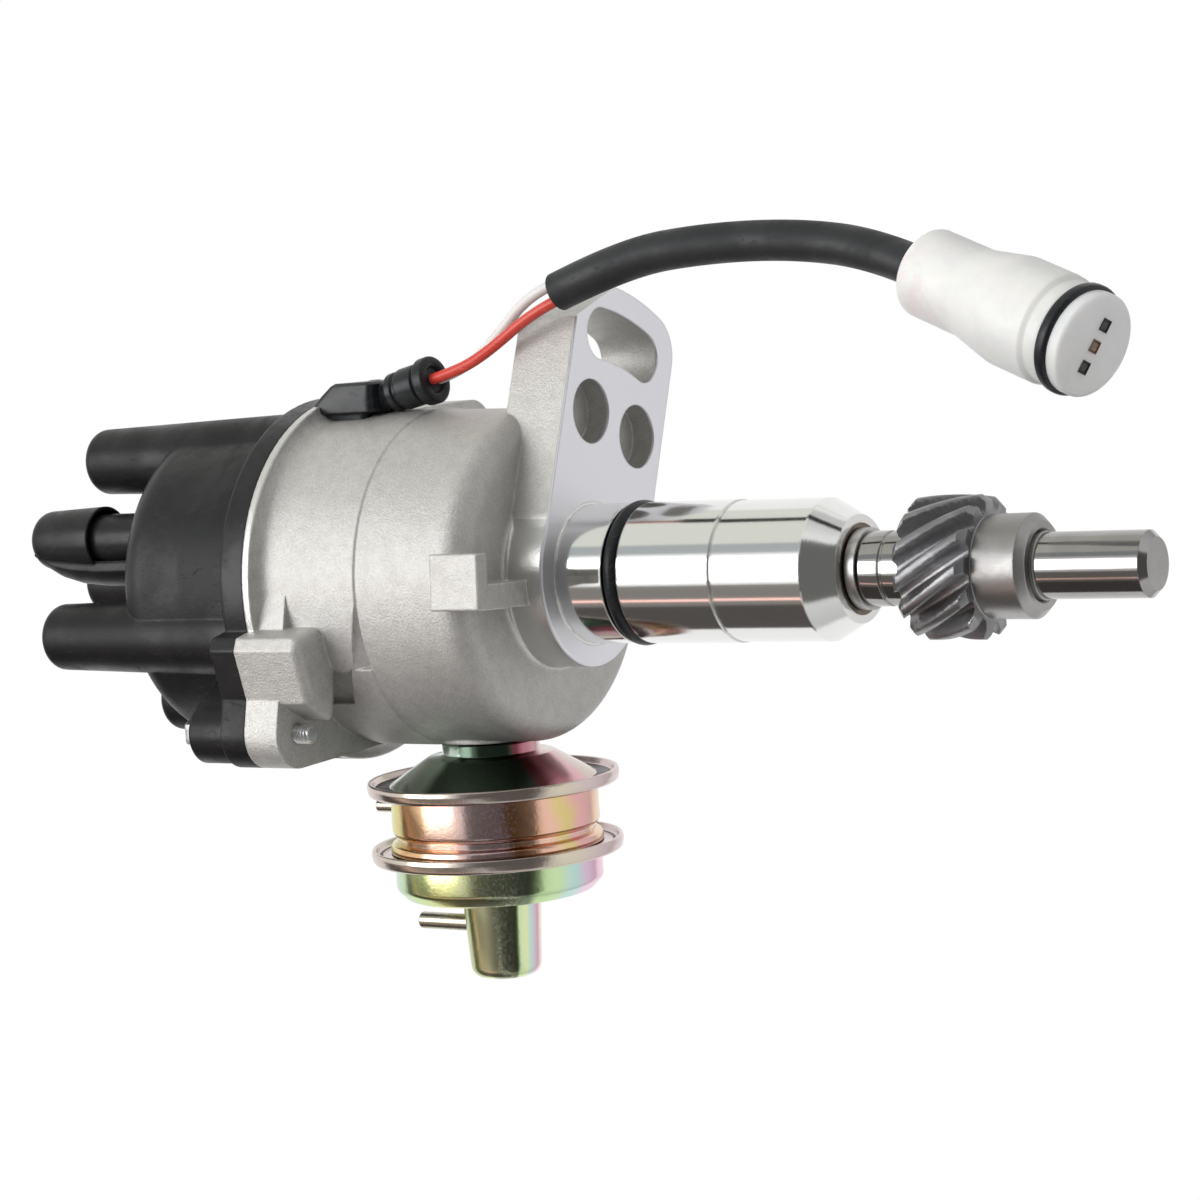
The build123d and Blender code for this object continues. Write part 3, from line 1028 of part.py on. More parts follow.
def outlet_grommet(body):
    """Rubber outlet that fills the notch in the wall and carries the ribbed strain relief."""
    half, flange = OUTLET_WIDTH / 2, OUTLET_FLANGE_WIDTH / 2
    low = JOINT_Z - OUTLET_NOTCH_DEPTH
    plug = block((BOWL_INNER_R - 1.5, RIM_R), (OUTLET_Y - half, OUTLET_Y + half), (low, JOINT_Z))
    y_low = OUTLET_Y - flange
    outline = [(BOWL_R - 1.5, y_low, JOINT_Z), (RIM_R - 0.8, y_low, JOINT_Z),
               (OUTLET_TOP_X, y_low, JOINT_Z - 5),
               (OUTLET_TOP_X + 0.6, y_low, JOINT_Z - OUTLET_LENGTH),
               (BOWL_R - 1.5, y_low, JOINT_Z - OUTLET_LENGTH)]
    flange_block = extrude(make_face(Polyline(*outline, close=True)), OUTLET_FLANGE_WIDTH, dir=(0, 1, 0))
    foot, way, length = relief_axis()
    place = Plane(origin=foot, z_dir=way)
    neck = place * Pos(0, 0, length / 2) * Cylinder(RELIEF_NECK_R, length)
    barrel_from, barrel_to = length * 0.38, length - RELIEF_FLANGE
    barrel = place * Pos(0, 0, (barrel_from + barrel_to) / 2) * Cylinder(RELIEF_BARREL_R,
                                                                         barrel_to - barrel_from)
    collar = place * Pos(0, 0, length - RELIEF_FLANGE / 2) * Cylinder(RELIEF_FLANGE_R, RELIEF_FLANGE)
    return plug + flange_block + neck + barrel + collar - body


def bend_radii(points):
    """Radius of each bend: 0.45 of the shorter run over the tangent of half the turn."""
    radii = []
    for before, corner, after in zip(points, points[1:], points[2:]):
        run_1, run_2 = Vector(*corner) - Vector(*before), Vector(*after) - Vector(*corner)
        turn = radians(run_1.get_angle(run_2))
        radii.append(0.45 * min(run_1.length, run_2.length) / tan(turn / 2))
    return radii


def cord_tube(points, radius, name):
    """Round tube along straight runs joined by tangent arcs."""
    radii = bend_radii(points)
    path = FilletPolyline(*points, radius=radii)
    start = Plane(origin=points[0], z_dir=Vector(*points[1]) - Vector(*points[0]))
    solid = sweep(start * Circle(radius), path=path)
    expected = pi * radius ** 2 * path.length
    cord_lengths[name] = path.length
    print(name, "length", round(path.length, 2), "radii", [round(r, 1) for r in radii],
          "volume ratio", round(solid.volume / expected, 4))
    return solid


def sleeve_mouth(offset, y):
    """Point on the sleeve's open end, at an offset across its axis, and the sleeve's direction there."""
    mouth, after = Vector(*SLEEVE_POINTS[0]), Vector(*SLEEVE_POINTS[1])
    way = (after - mouth).normalized()
    across = Vector(-way.Z, 0, way.X)
    point = mouth + across * offset
    return (point.X, y, point.Z)


def connector_plane():
    """Plane at the connector's rear face, along the sleeve's last run."""
    end = Vector(*SLEEVE_POINTS[-1])
    way = (end - Vector(*SLEEVE_POINTS[-2])).normalized()
    return Plane(origin=end, x_dir=(0.70, 0.45, -0.55), z_dir=way)


def build_harness(body):
    """Outlet, leads, sleeve and the sealed connector on their end."""
    save(outlet_grommet(body), "outlet_grommet")
    red = RED_POINTS + [sleeve_mouth(RED_MOUTH, RED_POINTS[-1][1])]
    white = WHITE_POINTS + [sleeve_mouth(WHITE_MOUTH, WHITE_POINTS[-1][1])]
    save(cord_tube(red, LEAD_R, "lead_red"), "lead_red")
    save(cord_tube(white, LEAD_R, "lead_white"), "lead_white")
    save(cord_tube(SLEEVE_POINTS, SLEEVE_TUBE_R, "harness_sleeve"), "harness_sleeve")

    place = connector_plane()
    nose_from = CONNECTOR_LENGTH - CONNECTOR_NOSE
    seal_high = CONNECTOR_LENGTH - CONNECTOR_FACE
    seal_low = seal_high - CONNECTOR_SEAL_WIDTH
    groove_r = CONNECTOR_NOSE_R - CONNECTOR_SEAL_DEPTH
    shell = turned([
        (0, 0), (CONNECTOR_REAR_R, 0, 1.2), (CONNECTOR_REAR_R, CONNECTOR_REAR, 2.0),
        (CONNECTOR_BODY_R, CONNECTOR_REAR + CONNECTOR_SHOULDER, 2.0), (CONNECTOR_BODY_R, nose_from),
        (CONNECTOR_NOSE_R, nose_from + 0.6), (CONNECTOR_NOSE_R, seal_low), (groove_r, seal_low),
        (groove_r, seal_high), (CONNECTOR_NOSE_R, seal_high), (CONNECTOR_NOSE_R, CONNECTOR_LENGTH, 0.6),
        (0, CONNECTOR_LENGTH)])
    terminals = []
    for index in (-1, 0, 1):
        x = index * TERMINAL_PITCH
        half = TERMINAL_SOCKET / 2
        shell -= block((x - half, x + half), (-half, half),
                       (CONNECTOR_LENGTH - TERMINAL_DEPTH, CONNECTOR_LENGTH + 1))
        pin_half = TERMINAL_SIZE / 2
        terminals.append(block((x - pin_half, x + pin_half), (-pin_half, pin_half),
                               (CONNECTOR_LENGTH - TERMINAL_DEPTH, CONNECTOR_LENGTH - 2)))
    save(place * shell, "connector_housing")
    seal_r = CONNECTOR_BODY_R
    save(place * tube(seal_r, groove_r, seal_low, seal_high), "connector_seal")
    save(place * group(terminals), "connector_terminals")


build_shaft_line()
build_advance()
build_plates()
build_rotor()
build_cap()
build_vacuum()
build_harness(housing())
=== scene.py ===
import json
import logging
import math
from collections.abc import Callable
from dataclasses import dataclass
from enum import Enum

import bmesh
import bpy
import numpy as np
from mathutils import Matrix, Vector


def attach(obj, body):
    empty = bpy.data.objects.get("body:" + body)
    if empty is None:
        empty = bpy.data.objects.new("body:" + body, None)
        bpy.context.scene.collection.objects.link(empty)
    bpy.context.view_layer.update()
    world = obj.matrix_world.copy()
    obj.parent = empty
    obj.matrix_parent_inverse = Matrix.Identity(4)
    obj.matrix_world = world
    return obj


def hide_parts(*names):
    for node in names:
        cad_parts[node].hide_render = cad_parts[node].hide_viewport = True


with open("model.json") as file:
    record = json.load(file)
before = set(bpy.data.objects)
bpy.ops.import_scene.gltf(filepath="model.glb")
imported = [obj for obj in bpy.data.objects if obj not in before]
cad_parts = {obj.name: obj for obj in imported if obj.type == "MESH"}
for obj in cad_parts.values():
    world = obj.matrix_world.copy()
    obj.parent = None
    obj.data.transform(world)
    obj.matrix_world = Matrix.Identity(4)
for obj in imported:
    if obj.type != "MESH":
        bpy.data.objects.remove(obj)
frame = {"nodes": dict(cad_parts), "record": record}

LOG = logging.getLogger("distributor")
MM = 0.001
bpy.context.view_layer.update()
Points = np.ndarray
Colour = tuple[float, float, float]
Vec3 = tuple[float, float, float]
Span = tuple[float, float]
Corners = list[tuple[float, ...]]
Piece = bpy.types.Object
Inputs = dict[str | int, object]
MERGE_DISTANCE, DEGENERATE = 1e-7, 1e-8


# ---------------------------------------------------------------- shapes worked out as arrays
class Edge(Enum):
    """How the faces of a piece meet in shading: the angle in degrees from which an edge is sharp."""

    SMOOTH = 180.0
    CREASED = 32.0
    CRISP = 18.0


@dataclass(frozen=True)
class Placement:
    """A local frame: z runs along ``axis``, x points to ``side``, all in millimetres."""

    origin: Vec3 = (0.0, 0.0, 0.0)
    axis: Vec3 = (0.0, 0.0, 1.0)
    side: Vec3 = (1.0, 0.0, 0.0)

    def basis(self) -> Points:
        """Rows are the local x, y and z directions, made square to each other."""
        z = np.array(self.axis, float)
        z /= np.linalg.norm(z)
        x = np.array(self.side, float)
        x -= z * (x @ z)
        x /= np.linalg.norm(x)
        return np.stack([x, np.cross(z, x), z])

    def place(self, points: Points) -> Points:
        """Put local points into the shared frame.

        Args:
            points: Local coordinates, in millimetres, last dimension 3.

        Returns:
            The same points in metres in the shared frame.
        """
        return (points @ self.basis() + np.array(self.origin)) * MM


def full_turn(steps: int) -> Points:
    """Angles of a full turn in equal steps, without the last one, which is the first again."""
    return np.linspace(0, 2 * np.pi, steps, endpoint=False)


def polar(radius: Points, angle: Points, height: Points | float) -> Points:
    """Points (radius cos angle, radius sin angle, height), with the three spread over one shape."""
    return np.stack(np.broadcast_arrays(radius * np.cos(angle), radius * np.sin(angle), height), -1)


def sphere(azimuth: Points | float, elevation: Points | float) -> Points:
    """Unit directions from an azimuth from +X and an elevation above the horizon, in degrees."""
    turn, lift = np.radians(azimuth), np.radians(elevation)
    return polar(np.cos(lift), turn, np.sin(lift))


def rounded_profile(corners: Corners, closed: bool = False) -> Points:
    """Turn an outline of corners into a dense line with true arcs at the corners.

    A corner is (radius, height) or (radius, height, fillet). With a fillet f and half angle h between
    the two sides, the arc starts f / tan(h) from the corner on each side, and its centre lies
    f / sin(h) along the bisector.

    Args:
        corners: The outline's corners in order.
        closed: Whether the last corner joins the first.

    Returns:
        An array of (radius, height) rows.
    """
    arc_points, most_of_side = 7, 0.49
    count = len(corners)
    flat = np.array([c[:2] for c in corners], float)
    rows: list[Points] = []
    for i, here in enumerate(flat):
        fillet = corners[i][2] if len(corners[i]) > 2 else 0.0
        if fillet <= 0 or (not closed and i in (0, count - 1)):
            rows.append(here[None])
            continue
        before, after = flat[i - 1] - here, flat[(i + 1) % count] - here
        long_a, long_b = np.linalg.norm(before), np.linalg.norm(after)
        a, b = before / long_a, after / long_b
        half = 0.5 * math.acos(float(np.clip(a @ b, -1, 1)))
        reach = min(fillet / math.tan(half), most_of_side * min(long_a, long_b))
        centre = here + (a + b) / np.linalg.norm(a + b) * (reach * math.tan(half)) / math.sin(half)
        start, end = here + a * reach - centre, here + b * reach - centre
        sweep = math.atan2(start[0] * end[1] - start[1] * end[0], start @ end)
        t = np.linspace(0, sweep, arc_points)[:, None]
        across = np.array([-start[1], start[0]])
        rows.append(centre + start * np.cos(t) + across * np.sin(t))
    return np.concatenate(rows)


def link(name: str, data: bpy.types.ID) -> Piece:
    """Make an object for its data and put it into the scene, at the origin."""
    made = bpy.data.objects.new(name, data)
    bpy.context.scene.collection.objects.link(made)
    return made


def grid_mesh(name: str, grid: Points, wrap_rows: bool = False,
              wrap_columns: bool = False) -> bpy.types.Mesh:
    """Make a mesh of four-sided faces between the points of a grid.

    Row i, column j joins (i, j), (i + 1, j), (i + 1, j + 1) and (i, j + 1) into one face. The UV map
    runs 0 to 1 along the columns and along the rows.

    Args:
        name: Name of the mesh.
        grid: Array of shape (rows, columns, 3) in metres.
        wrap_rows: Whether the last row joins the first.
        wrap_columns: Whether the last column joins the first.

    Returns:
        The mesh.
    """
    rows, columns = grid.shape[:2]
    i, j = np.meshgrid(np.arange(rows if wrap_rows else rows - 1),
                       np.arange(columns if wrap_columns else columns - 1), indexing="ij")
    i, j = i.ravel(), j.ravel()
    down, along = np.stack([i, i + 1, i + 1, i], -1), np.stack([j, j, j + 1, j + 1], -1)
    mesh = bpy.data.meshes.new(name)
    mesh.from_pydata(grid.reshape(-1, 3).tolist(), [], ((down % rows) * columns + along % columns).tolist())
    uv = np.stack([along / columns, down / max(rows - 1, 1)], -1)
    mesh.uv_layers.new(name="surface").data.foreach_set("uv", uv.astype(np.float32).ravel())
    return mesh


def grid_object(name: str, grid: Points, edge: Edge = Edge.CREASED, wrap_rows: bool = False,
                wrap_columns: bool = True) -> Piece:
    """Make a mesh object from a grid of points, as grid_mesh joins them.

    Points that coincide are merged, end rows that are still open loops are closed with a face, and
    the faces are turned outwards.

    Args:
        name: Name of the object.
        grid: Array of shape (rows, columns, 3) in metres.
        edge: How sharply faces meet in shading.
        wrap_rows: Whether the last row joins the first.
        wrap_columns: Whether the last column joins the first.

    Returns:
        The object, linked to the scene, with its place in its mesh.
    """
    mesh = grid_mesh(name, grid, wrap_rows, wrap_columns)
    work = bmesh.new()
    work.from_mesh(mesh)
    bmesh.ops.remove_doubles(work, verts=work.verts, dist=MERGE_DISTANCE)
    bmesh.ops.dissolve_degenerate(work, edges=work.edges, dist=DEGENERATE)
    open_edges = [e for e in work.edges if e.is_boundary]
    if wrap_columns and not wrap_rows and open_edges:
        bmesh.ops.holes_fill(work, edges=open_edges, sides=0)
    bmesh.ops.recalc_face_normals(work, faces=work.faces)
    work.to_mesh(mesh)
    work.free()
    mesh.shade_smooth()
    if edge is not Edge.SMOOTH:
        mesh.set_sharp_from_angle(angle=math.radians(edge.value))
    return link(name, mesh)


def lathe(name: str, profile: Points, place: Placement = Placement(), closed: bool = False,
          steps: int = 128, edge: Edge = Edge.CREASED) -> Piece:
    """Turn a profile about the local z axis: x = r cos a, y = r sin a, z = height.

    Args:
        name: Name of the object.
        profile: Rows of (radius, height) in millimetres.
        place: Where the local frame sits.
        closed: Whether the profile is a loop, as for a ring.
        steps: How many columns go round.
        edge: How sharply faces meet in shading.

    Returns:
        The turned piece.
    """
    grid = polar(profile[:, 0, None], full_turn(steps), profile[:, 1, None])
    return grid_object(name, place.place(grid), edge, wrap_rows=closed)


def turned(name: str, corners: Corners, place: Placement = Placement(), closed: bool = False,
           steps: int = 128) -> Piece:
    """Turn an outline of rounded corners; the arguments are those of rounded_profile and lathe."""
    return lathe(name, rounded_profile(corners, closed), place, closed, steps)


def join(name: str, pieces: list[Piece]) -> Piece:
    """Join separate shells into one object, keeping their materials and UV maps."""
    work = bmesh.new()
    shell = bpy.data.meshes.new(name)
    slots: list[bpy.types.Material] = []
    for piece in pieces:
        base, before = len(slots), len(work.faces)
        slots.extend(piece.data.materials)
        work.from_mesh(piece.data)
        work.faces.ensure_lookup_table()
        for face in work.faces[before:]:
            face.material_index += base
        bpy.data.objects.remove(piece)
    work.to_mesh(shell)
    work.free()
    for material in slots:
        shell.materials.append(material)
    return link(name, shell)


# ---------------------------------------------------------------- node helpers and shared effects
def operation(name: str, swapped: bool = False) -> Callable[..., "Signal"]:
    """Method of Signal that adds a Math node.

    Args:
        name: Blender's name for the operation.
        swapped: Whether the other number comes first, as in 1.0 - signal.

    Returns:
        The method, which takes the other number, if the operation has one, and returns the result.
    """
    def method(self: "Signal", other: "Signal | float | None" = None) -> "Signal":
        return self.desk.math(name, other, self) if swapped else self.desk.math(name, self, other)
    return method


class Signal:
    """An output in a node tree. Arithmetic on it adds Math nodes to the same tree."""

    __add__, __radd__ = operation("ADD"), operation("ADD", swapped=True)
    __sub__, __rsub__ = operation("SUBTRACT"), operation("SUBTRACT", swapped=True)
    __mul__, __truediv__ = operation("MULTIPLY"), operation("DIVIDE")
    __pow__, __abs__, most = operation("POWER"), operation("ABSOLUTE"), operation("MAXIMUM")

    def __init__(self, desk: "Desk", socket: bpy.types.NodeSocket) -> None:
        """Keep the output and the desk of its tree."""
        self.desk, self.socket = desk, socket

    def step(self, low: float, high: float) -> "Signal":
        """Number that rises smoothly from 0 at low to 1 at high."""
        return self.desk.signal("ShaderNodeMapRange", {"Value": self, "From Min": low, "From Max": high},
                                interpolation_type="SMOOTHSTEP")

    def span(self, low: "Signal | float", high: "Signal | float") -> "Signal":
        """Number that runs straight from low where this one is 0 to high where it is 1."""
        return self.desk.signal("ShaderNodeMapRange", {"Value": self, "To Min": low, "To Max": high})


class Effect(Enum):
    """Names of the shared shader groups."""

    GRAIN = "sand_grain"
    SCRATCH = "fine_scratches"
    SMUDGE = "handling_smudge"
    EDGE = "edge_wear"
    TURNING = "turning_marks"


class Desk:
    """Places and joins nodes in one node tree."""

    def __init__(self, tree: bpy.types.NodeTree) -> None:
        """Keep the tree that the nodes go into."""
        self.tree = tree

    def feed(self, node: bpy.types.Node, inputs: Inputs) -> bpy.types.Node:
        """Fill or join a node's inputs.

        Args:
            node: The node.
            inputs: Input name or number to a value or a Signal. A colour of three parts is made opaque.

        Returns:
            The same node.
        """
        for key, value in inputs.items():
            socket = node.inputs[key]
            if isinstance(value, Signal):
                self.tree.links.new(value.socket, socket)
            else:
                socket.default_value = (*value, 1.0) if socket.type == "RGBA" else value
        return node

    def node(self, kind: str, inputs: Inputs | None = None, **settings: object) -> bpy.types.Node:
        """Add a node of Blender's given type, set its options and feed its inputs."""
        made = self.tree.nodes.new(kind)
        for option, value in settings.items():
            setattr(made, option, value)
        return self.feed(made, inputs or {})

    def signal(self, kind: str, inputs: Inputs | None = None, output: str | int = 0,
               **settings: object) -> Signal:
        """Add a node as `node` does and return one of its outputs."""
        return Signal(self, self.node(kind, inputs, **settings).outputs[output])

    def math(self, operation: str, a: Signal | float, b: Signal | float | None = None,
             clamp: bool = False) -> Signal:
        """Join one or two numbers with an operation."""
        inputs = {0: a} if b is None else {0: a, 1: b}
        return self.signal("ShaderNodeMath", inputs, operation=operation, use_clamp=clamp)

    def mix(self, factor: Signal | float, a: Signal | Colour, b: Signal | Colour) -> Signal:
        """Blend of two colours."""
        return self.signal("ShaderNodeMix", {0: factor, 6: a, 7: b}, 2, data_type="RGBA")

    def noise(self, vector: Signal, scale: Signal | float, output: str = "Fac", **more: float) -> Signal:
        """Noise texture; more holds its other inputs by name."""
        return self.signal("ShaderNodeTexNoise", {"Vector": vector, "Scale": scale, **more}, output)

    def ramp(self, factor: Signal, stops: tuple[tuple[float, Colour], ...]) -> Signal:
        """Colour ramp that eases through the given stops."""
        made = self.node("ShaderNodeValToRGB", {"Fac": factor})
        band = made.color_ramp
        band.interpolation = "EASE"
        while len(band.elements) < len(stops):
            band.elements.new(0.5)
        for element, (at, colour) in zip(band.elements, stops):
            element.position, element.color = at, (*colour, 1.0)
        return Signal(self, made.outputs["Color"])

    def axes(self, vector: Signal) -> tuple[Signal, Signal, Signal]:
        """The three parts of a vector."""
        parts = self.node("ShaderNodeSeparateXYZ", {0: vector}).outputs
        return Signal(self, parts[0]), Signal(self, parts[1]), Signal(self, parts[2])

    def effect(self, effect: Effect, place: Signal, **values: float) -> dict[str, Signal]:
        """Put a shared effect into the tree and return its outputs by name."""
        made = self.node("ShaderNodeGroup", node_tree=bpy.data.node_groups[effect.value])
        self.feed(made, {"Vector": place, **values})
        return {output.name: Signal(self, output) for output in made.outputs}

    def relief(self, height: Signal, depth: float, rounding: float) -> Signal:
        """Normal from a height of the given depth and from edges of the given rounding, both in metres."""
        inputs = {"Height": height, "Distance": depth, "Strength": 1.0}
        if rounding > 0:
            inputs["Normal"] = self.signal("ShaderNodeBevel", {"Radius": rounding}, samples=6)
        return self.signal("ShaderNodeBump", inputs)


def new_group(effect: Effect, inputs: dict[str, float],
              outputs: tuple[str, ...]) -> tuple[Desk, dict[str, Signal], bpy.types.Node]:
    """Start a shader group with a Vector input, number inputs and number outputs.

    Args:
        effect: Which effect the group holds.
        inputs: Number inputs and their defaults.
        outputs: Names of the number outputs.

    Returns:
        The desk of the group's tree, its inputs by name and its output node.
    """
    tree = bpy.data.node_groups.new(effect.value, "ShaderNodeTree")
    tree.interface.new_socket("Vector", in_out="INPUT", socket_type="NodeSocketVector")
    for name, default in inputs.items():
        number = tree.interface.new_socket(name, in_out="INPUT", socket_type="NodeSocketFloat")
        number.default_value = default
    for name in outputs:
        tree.interface.new_socket(name, in_out="OUTPUT", socket_type="NodeSocketFloat")
    desk = Desk(tree)
    sources = desk.node("NodeGroupInput").outputs
    given = {socket.name: Signal(desk, socket) for socket in sources if socket.name}
    return desk, given, desk.node("NodeGroupOutput")


def build_effects() -> None:
    """Build each shared effect once."""
    desk, given, out = new_group(Effect.GRAIN, {"Scale": 900.0}, ("Height", "Tone"))
    coarser, fine_weight, broad_weight = 0.16, 0.75, 0.45
    fine = desk.noise(given["Vector"], given["Scale"], Detail=4.0, Roughness=0.62)
    broad = desk.noise(given["Vector"], given["Scale"] * coarser, Detail=3.0)
    desk.feed(out, {"Height": fine * fine_weight + broad * broad_weight, "Tone": broad.step(0.32, 0.68)})

    desk, given, out = new_group(Effect.SCRATCH, {"Scale": 260.0, "Sparse": 0.62}, ("Mask",))
    swirl_scale, bend, finer, width = 40.0, 0.012, 8.0, 0.05
    swirl = desk.noise(given["Vector"], swirl_scale, "Color")
    bent = desk.signal("ShaderNodeMix", {0: bend, 4: given["Vector"], 5: swirl}, 1, data_type="VECTOR")
    stretched = desk.signal("ShaderNodeMapping", {"Vector": bent, "Rotation": (0.5, 0.7, 0.3),
                                                  "Scale": (1.0, 0.05, 0.3)})
    lines = desk.noise(stretched, given["Scale"] * finer, Detail=2.0)
    desk.feed(out, {"Mask": desk.signal("ShaderNodeMapRange", {
        "Value": lines, "From Min": given["Sparse"], "From Max": given["Sparse"] + width})})

    desk, given, out = new_group(Effect.SMUDGE, {"Scale": 60.0}, ("Mask",))
    blot = desk.noise(given["Vector"], given["Scale"], Detail=5.0, Roughness=0.6, Distortion=0.4)
    desk.feed(out, {"Mask": blot.step(0.38, 0.66)})

    desk, given, out = new_group(Effect.EDGE, {"Width": 0.0006}, ("Mask",))
    soft = desk.signal("ShaderNodeBevel", {"Radius": given["Width"]}, samples=6)
    normal = desk.signal("ShaderNodeNewGeometry", output="Normal")
    facing = desk.signal("ShaderNodeVectorMath", {0: soft, 1: normal}, "Value", operation="DOT_PRODUCT")
    breakup = desk.noise(given["Vector"], 700.0)
    desk.feed(out, {"Mask": (1.0 - facing).step(0.02, 0.2) * breakup.step(0.3, 0.6)})

    desk, given, out = new_group(Effect.TURNING, {"Pitch": 5200.0}, ("Height",))
    x, y, z = desk.axes(given["Vector"])
    along = desk.signal("ShaderNodeCombineXYZ", {0: (x ** 2.0 + y ** 2.0) ** 0.5, 1: 0.0, 2: z})
    desk.feed(out, {"Height": desk.noise(along, given["Pitch"], Detail=1.0)})


def principled(material: bpy.types.Material) -> tuple[Desk, bpy.types.Node]:
    """Turn a material's nodes on and return its desk and its Principled shader."""
    material.use_nodes = True
    tree = material.node_tree
    return Desk(tree), next(n for n in tree.nodes if n.type == "BSDF_PRINCIPLED")


# ---------------------------------------------------------------- finishes
@dataclass(frozen=True)
class Finish:
    """Base of every finish: its name, and how its material is made."""

    name: str

    def paint(self, desk: Desk, place: Signal) -> Inputs:
        """Work out the shader's inputs from the object's coordinates."""
        raise NotImplementedError

    def build(self) -> bpy.types.Material:
        """Make the material."""
        material = bpy.data.materials.new(f"{self.name}_finish")
        desk, shader = principled(material)
        desk.feed(shader, self.paint(desk, desk.signal("ShaderNodeTexCoord", output="Object")))
        return material


@dataclass(frozen=True)
class Metal(Finish):
    """Bare or plated metal with grain, smudges, scratches and worn edges."""

    colour: Colour = (0.6, 0.6, 0.6)
    shade: Colour = (0.4, 0.4, 0.4)
    smooth: float = 0.2
    rough: float = 0.35
    grain: float = 1500.0
    depth: float = 0.00002
    rounding: float = 0.0003
    turned: float = 0.0
    smudge_scale: float = 90.0
    edge_width: float = 0.0004
    edge_weight: float = 0.6
    edge_gain: float = 1.25
    grain_under_turning: float = 0.3

    def paint(self, desk: Desk, place: Signal) -> Inputs:
        """Smudges blend two tones and two roughnesses, and edges are brighter."""
        height = desk.effect(Effect.GRAIN, place, Scale=self.grain)["Height"]
        smudge = desk.effect(Effect.SMUDGE, place, Scale=self.smudge_scale)["Mask"]
        edge = desk.effect(Effect.EDGE, place, Width=self.edge_width)["Mask"]
        bright = tuple(min(1.0, c * self.edge_gain) for c in self.colour)
        if self.turned > 0:
            rings = desk.effect(Effect.TURNING, place, Pitch=self.turned)["Height"]
            height = height * self.grain_under_turning + rings
        tone = desk.mix(smudge, self.shade, self.colour)
        return {"Base Color": desk.mix(edge * self.edge_weight, tone, bright),
                "Roughness": smudge.span(self.rough, self.smooth), "Metallic": 1.0,
                "Normal": desk.relief(height, self.depth, self.rounding)}


@dataclass(frozen=True)
class Moulding(Finish):
    """Moulded plastic or rubber with a faint grain, scratches and rubbed edges."""

    colour: Colour = (0.03, 0.03, 0.03)
    rubbed: Colour = (0.08, 0.08, 0.08)
    smooth: float = 0.35
    rough: float = 0.5
    grain: float = 1800.0
    depth: float = 0.00002
    rounding: float = 0.0005
    scratch: float = 0.5
    shine: float = 0.5
    smudge_scale: float = 70.0
    smudge_weight: float = 0.12
    scratch_scale: float = 220.0
    scratch_rough: float = 0.15
    edge_width: float = 0.0006
    edge_weight: float = 0.5

    def paint(self, desk: Desk, place: Signal) -> Inputs:
        """Scratches, edges and smudges lift the colour towards the rubbed one."""
        grain = desk.effect(Effect.GRAIN, place, Scale=self.grain)["Height"]
        smudge = desk.effect(Effect.SMUDGE, place, Scale=self.smudge_scale)["Mask"]
        scratch = desk.effect(Effect.SCRATCH, place, Scale=self.scratch_scale)["Mask"]
        edge = desk.effect(Effect.EDGE, place, Width=self.edge_width)["Mask"]
        marks = (scratch * self.scratch).most(edge * self.edge_weight)
        lift = desk.math("ADD", marks, smudge * self.smudge_weight, clamp=True)
        return {"Base Color": desk.mix(lift, self.colour, self.rubbed),
                "Roughness": smudge.span(self.rough, self.smooth) + scratch * self.scratch_rough,
                "Specular IOR Level": self.shine, "Normal": desk.relief(grain, self.depth, self.rounding)}


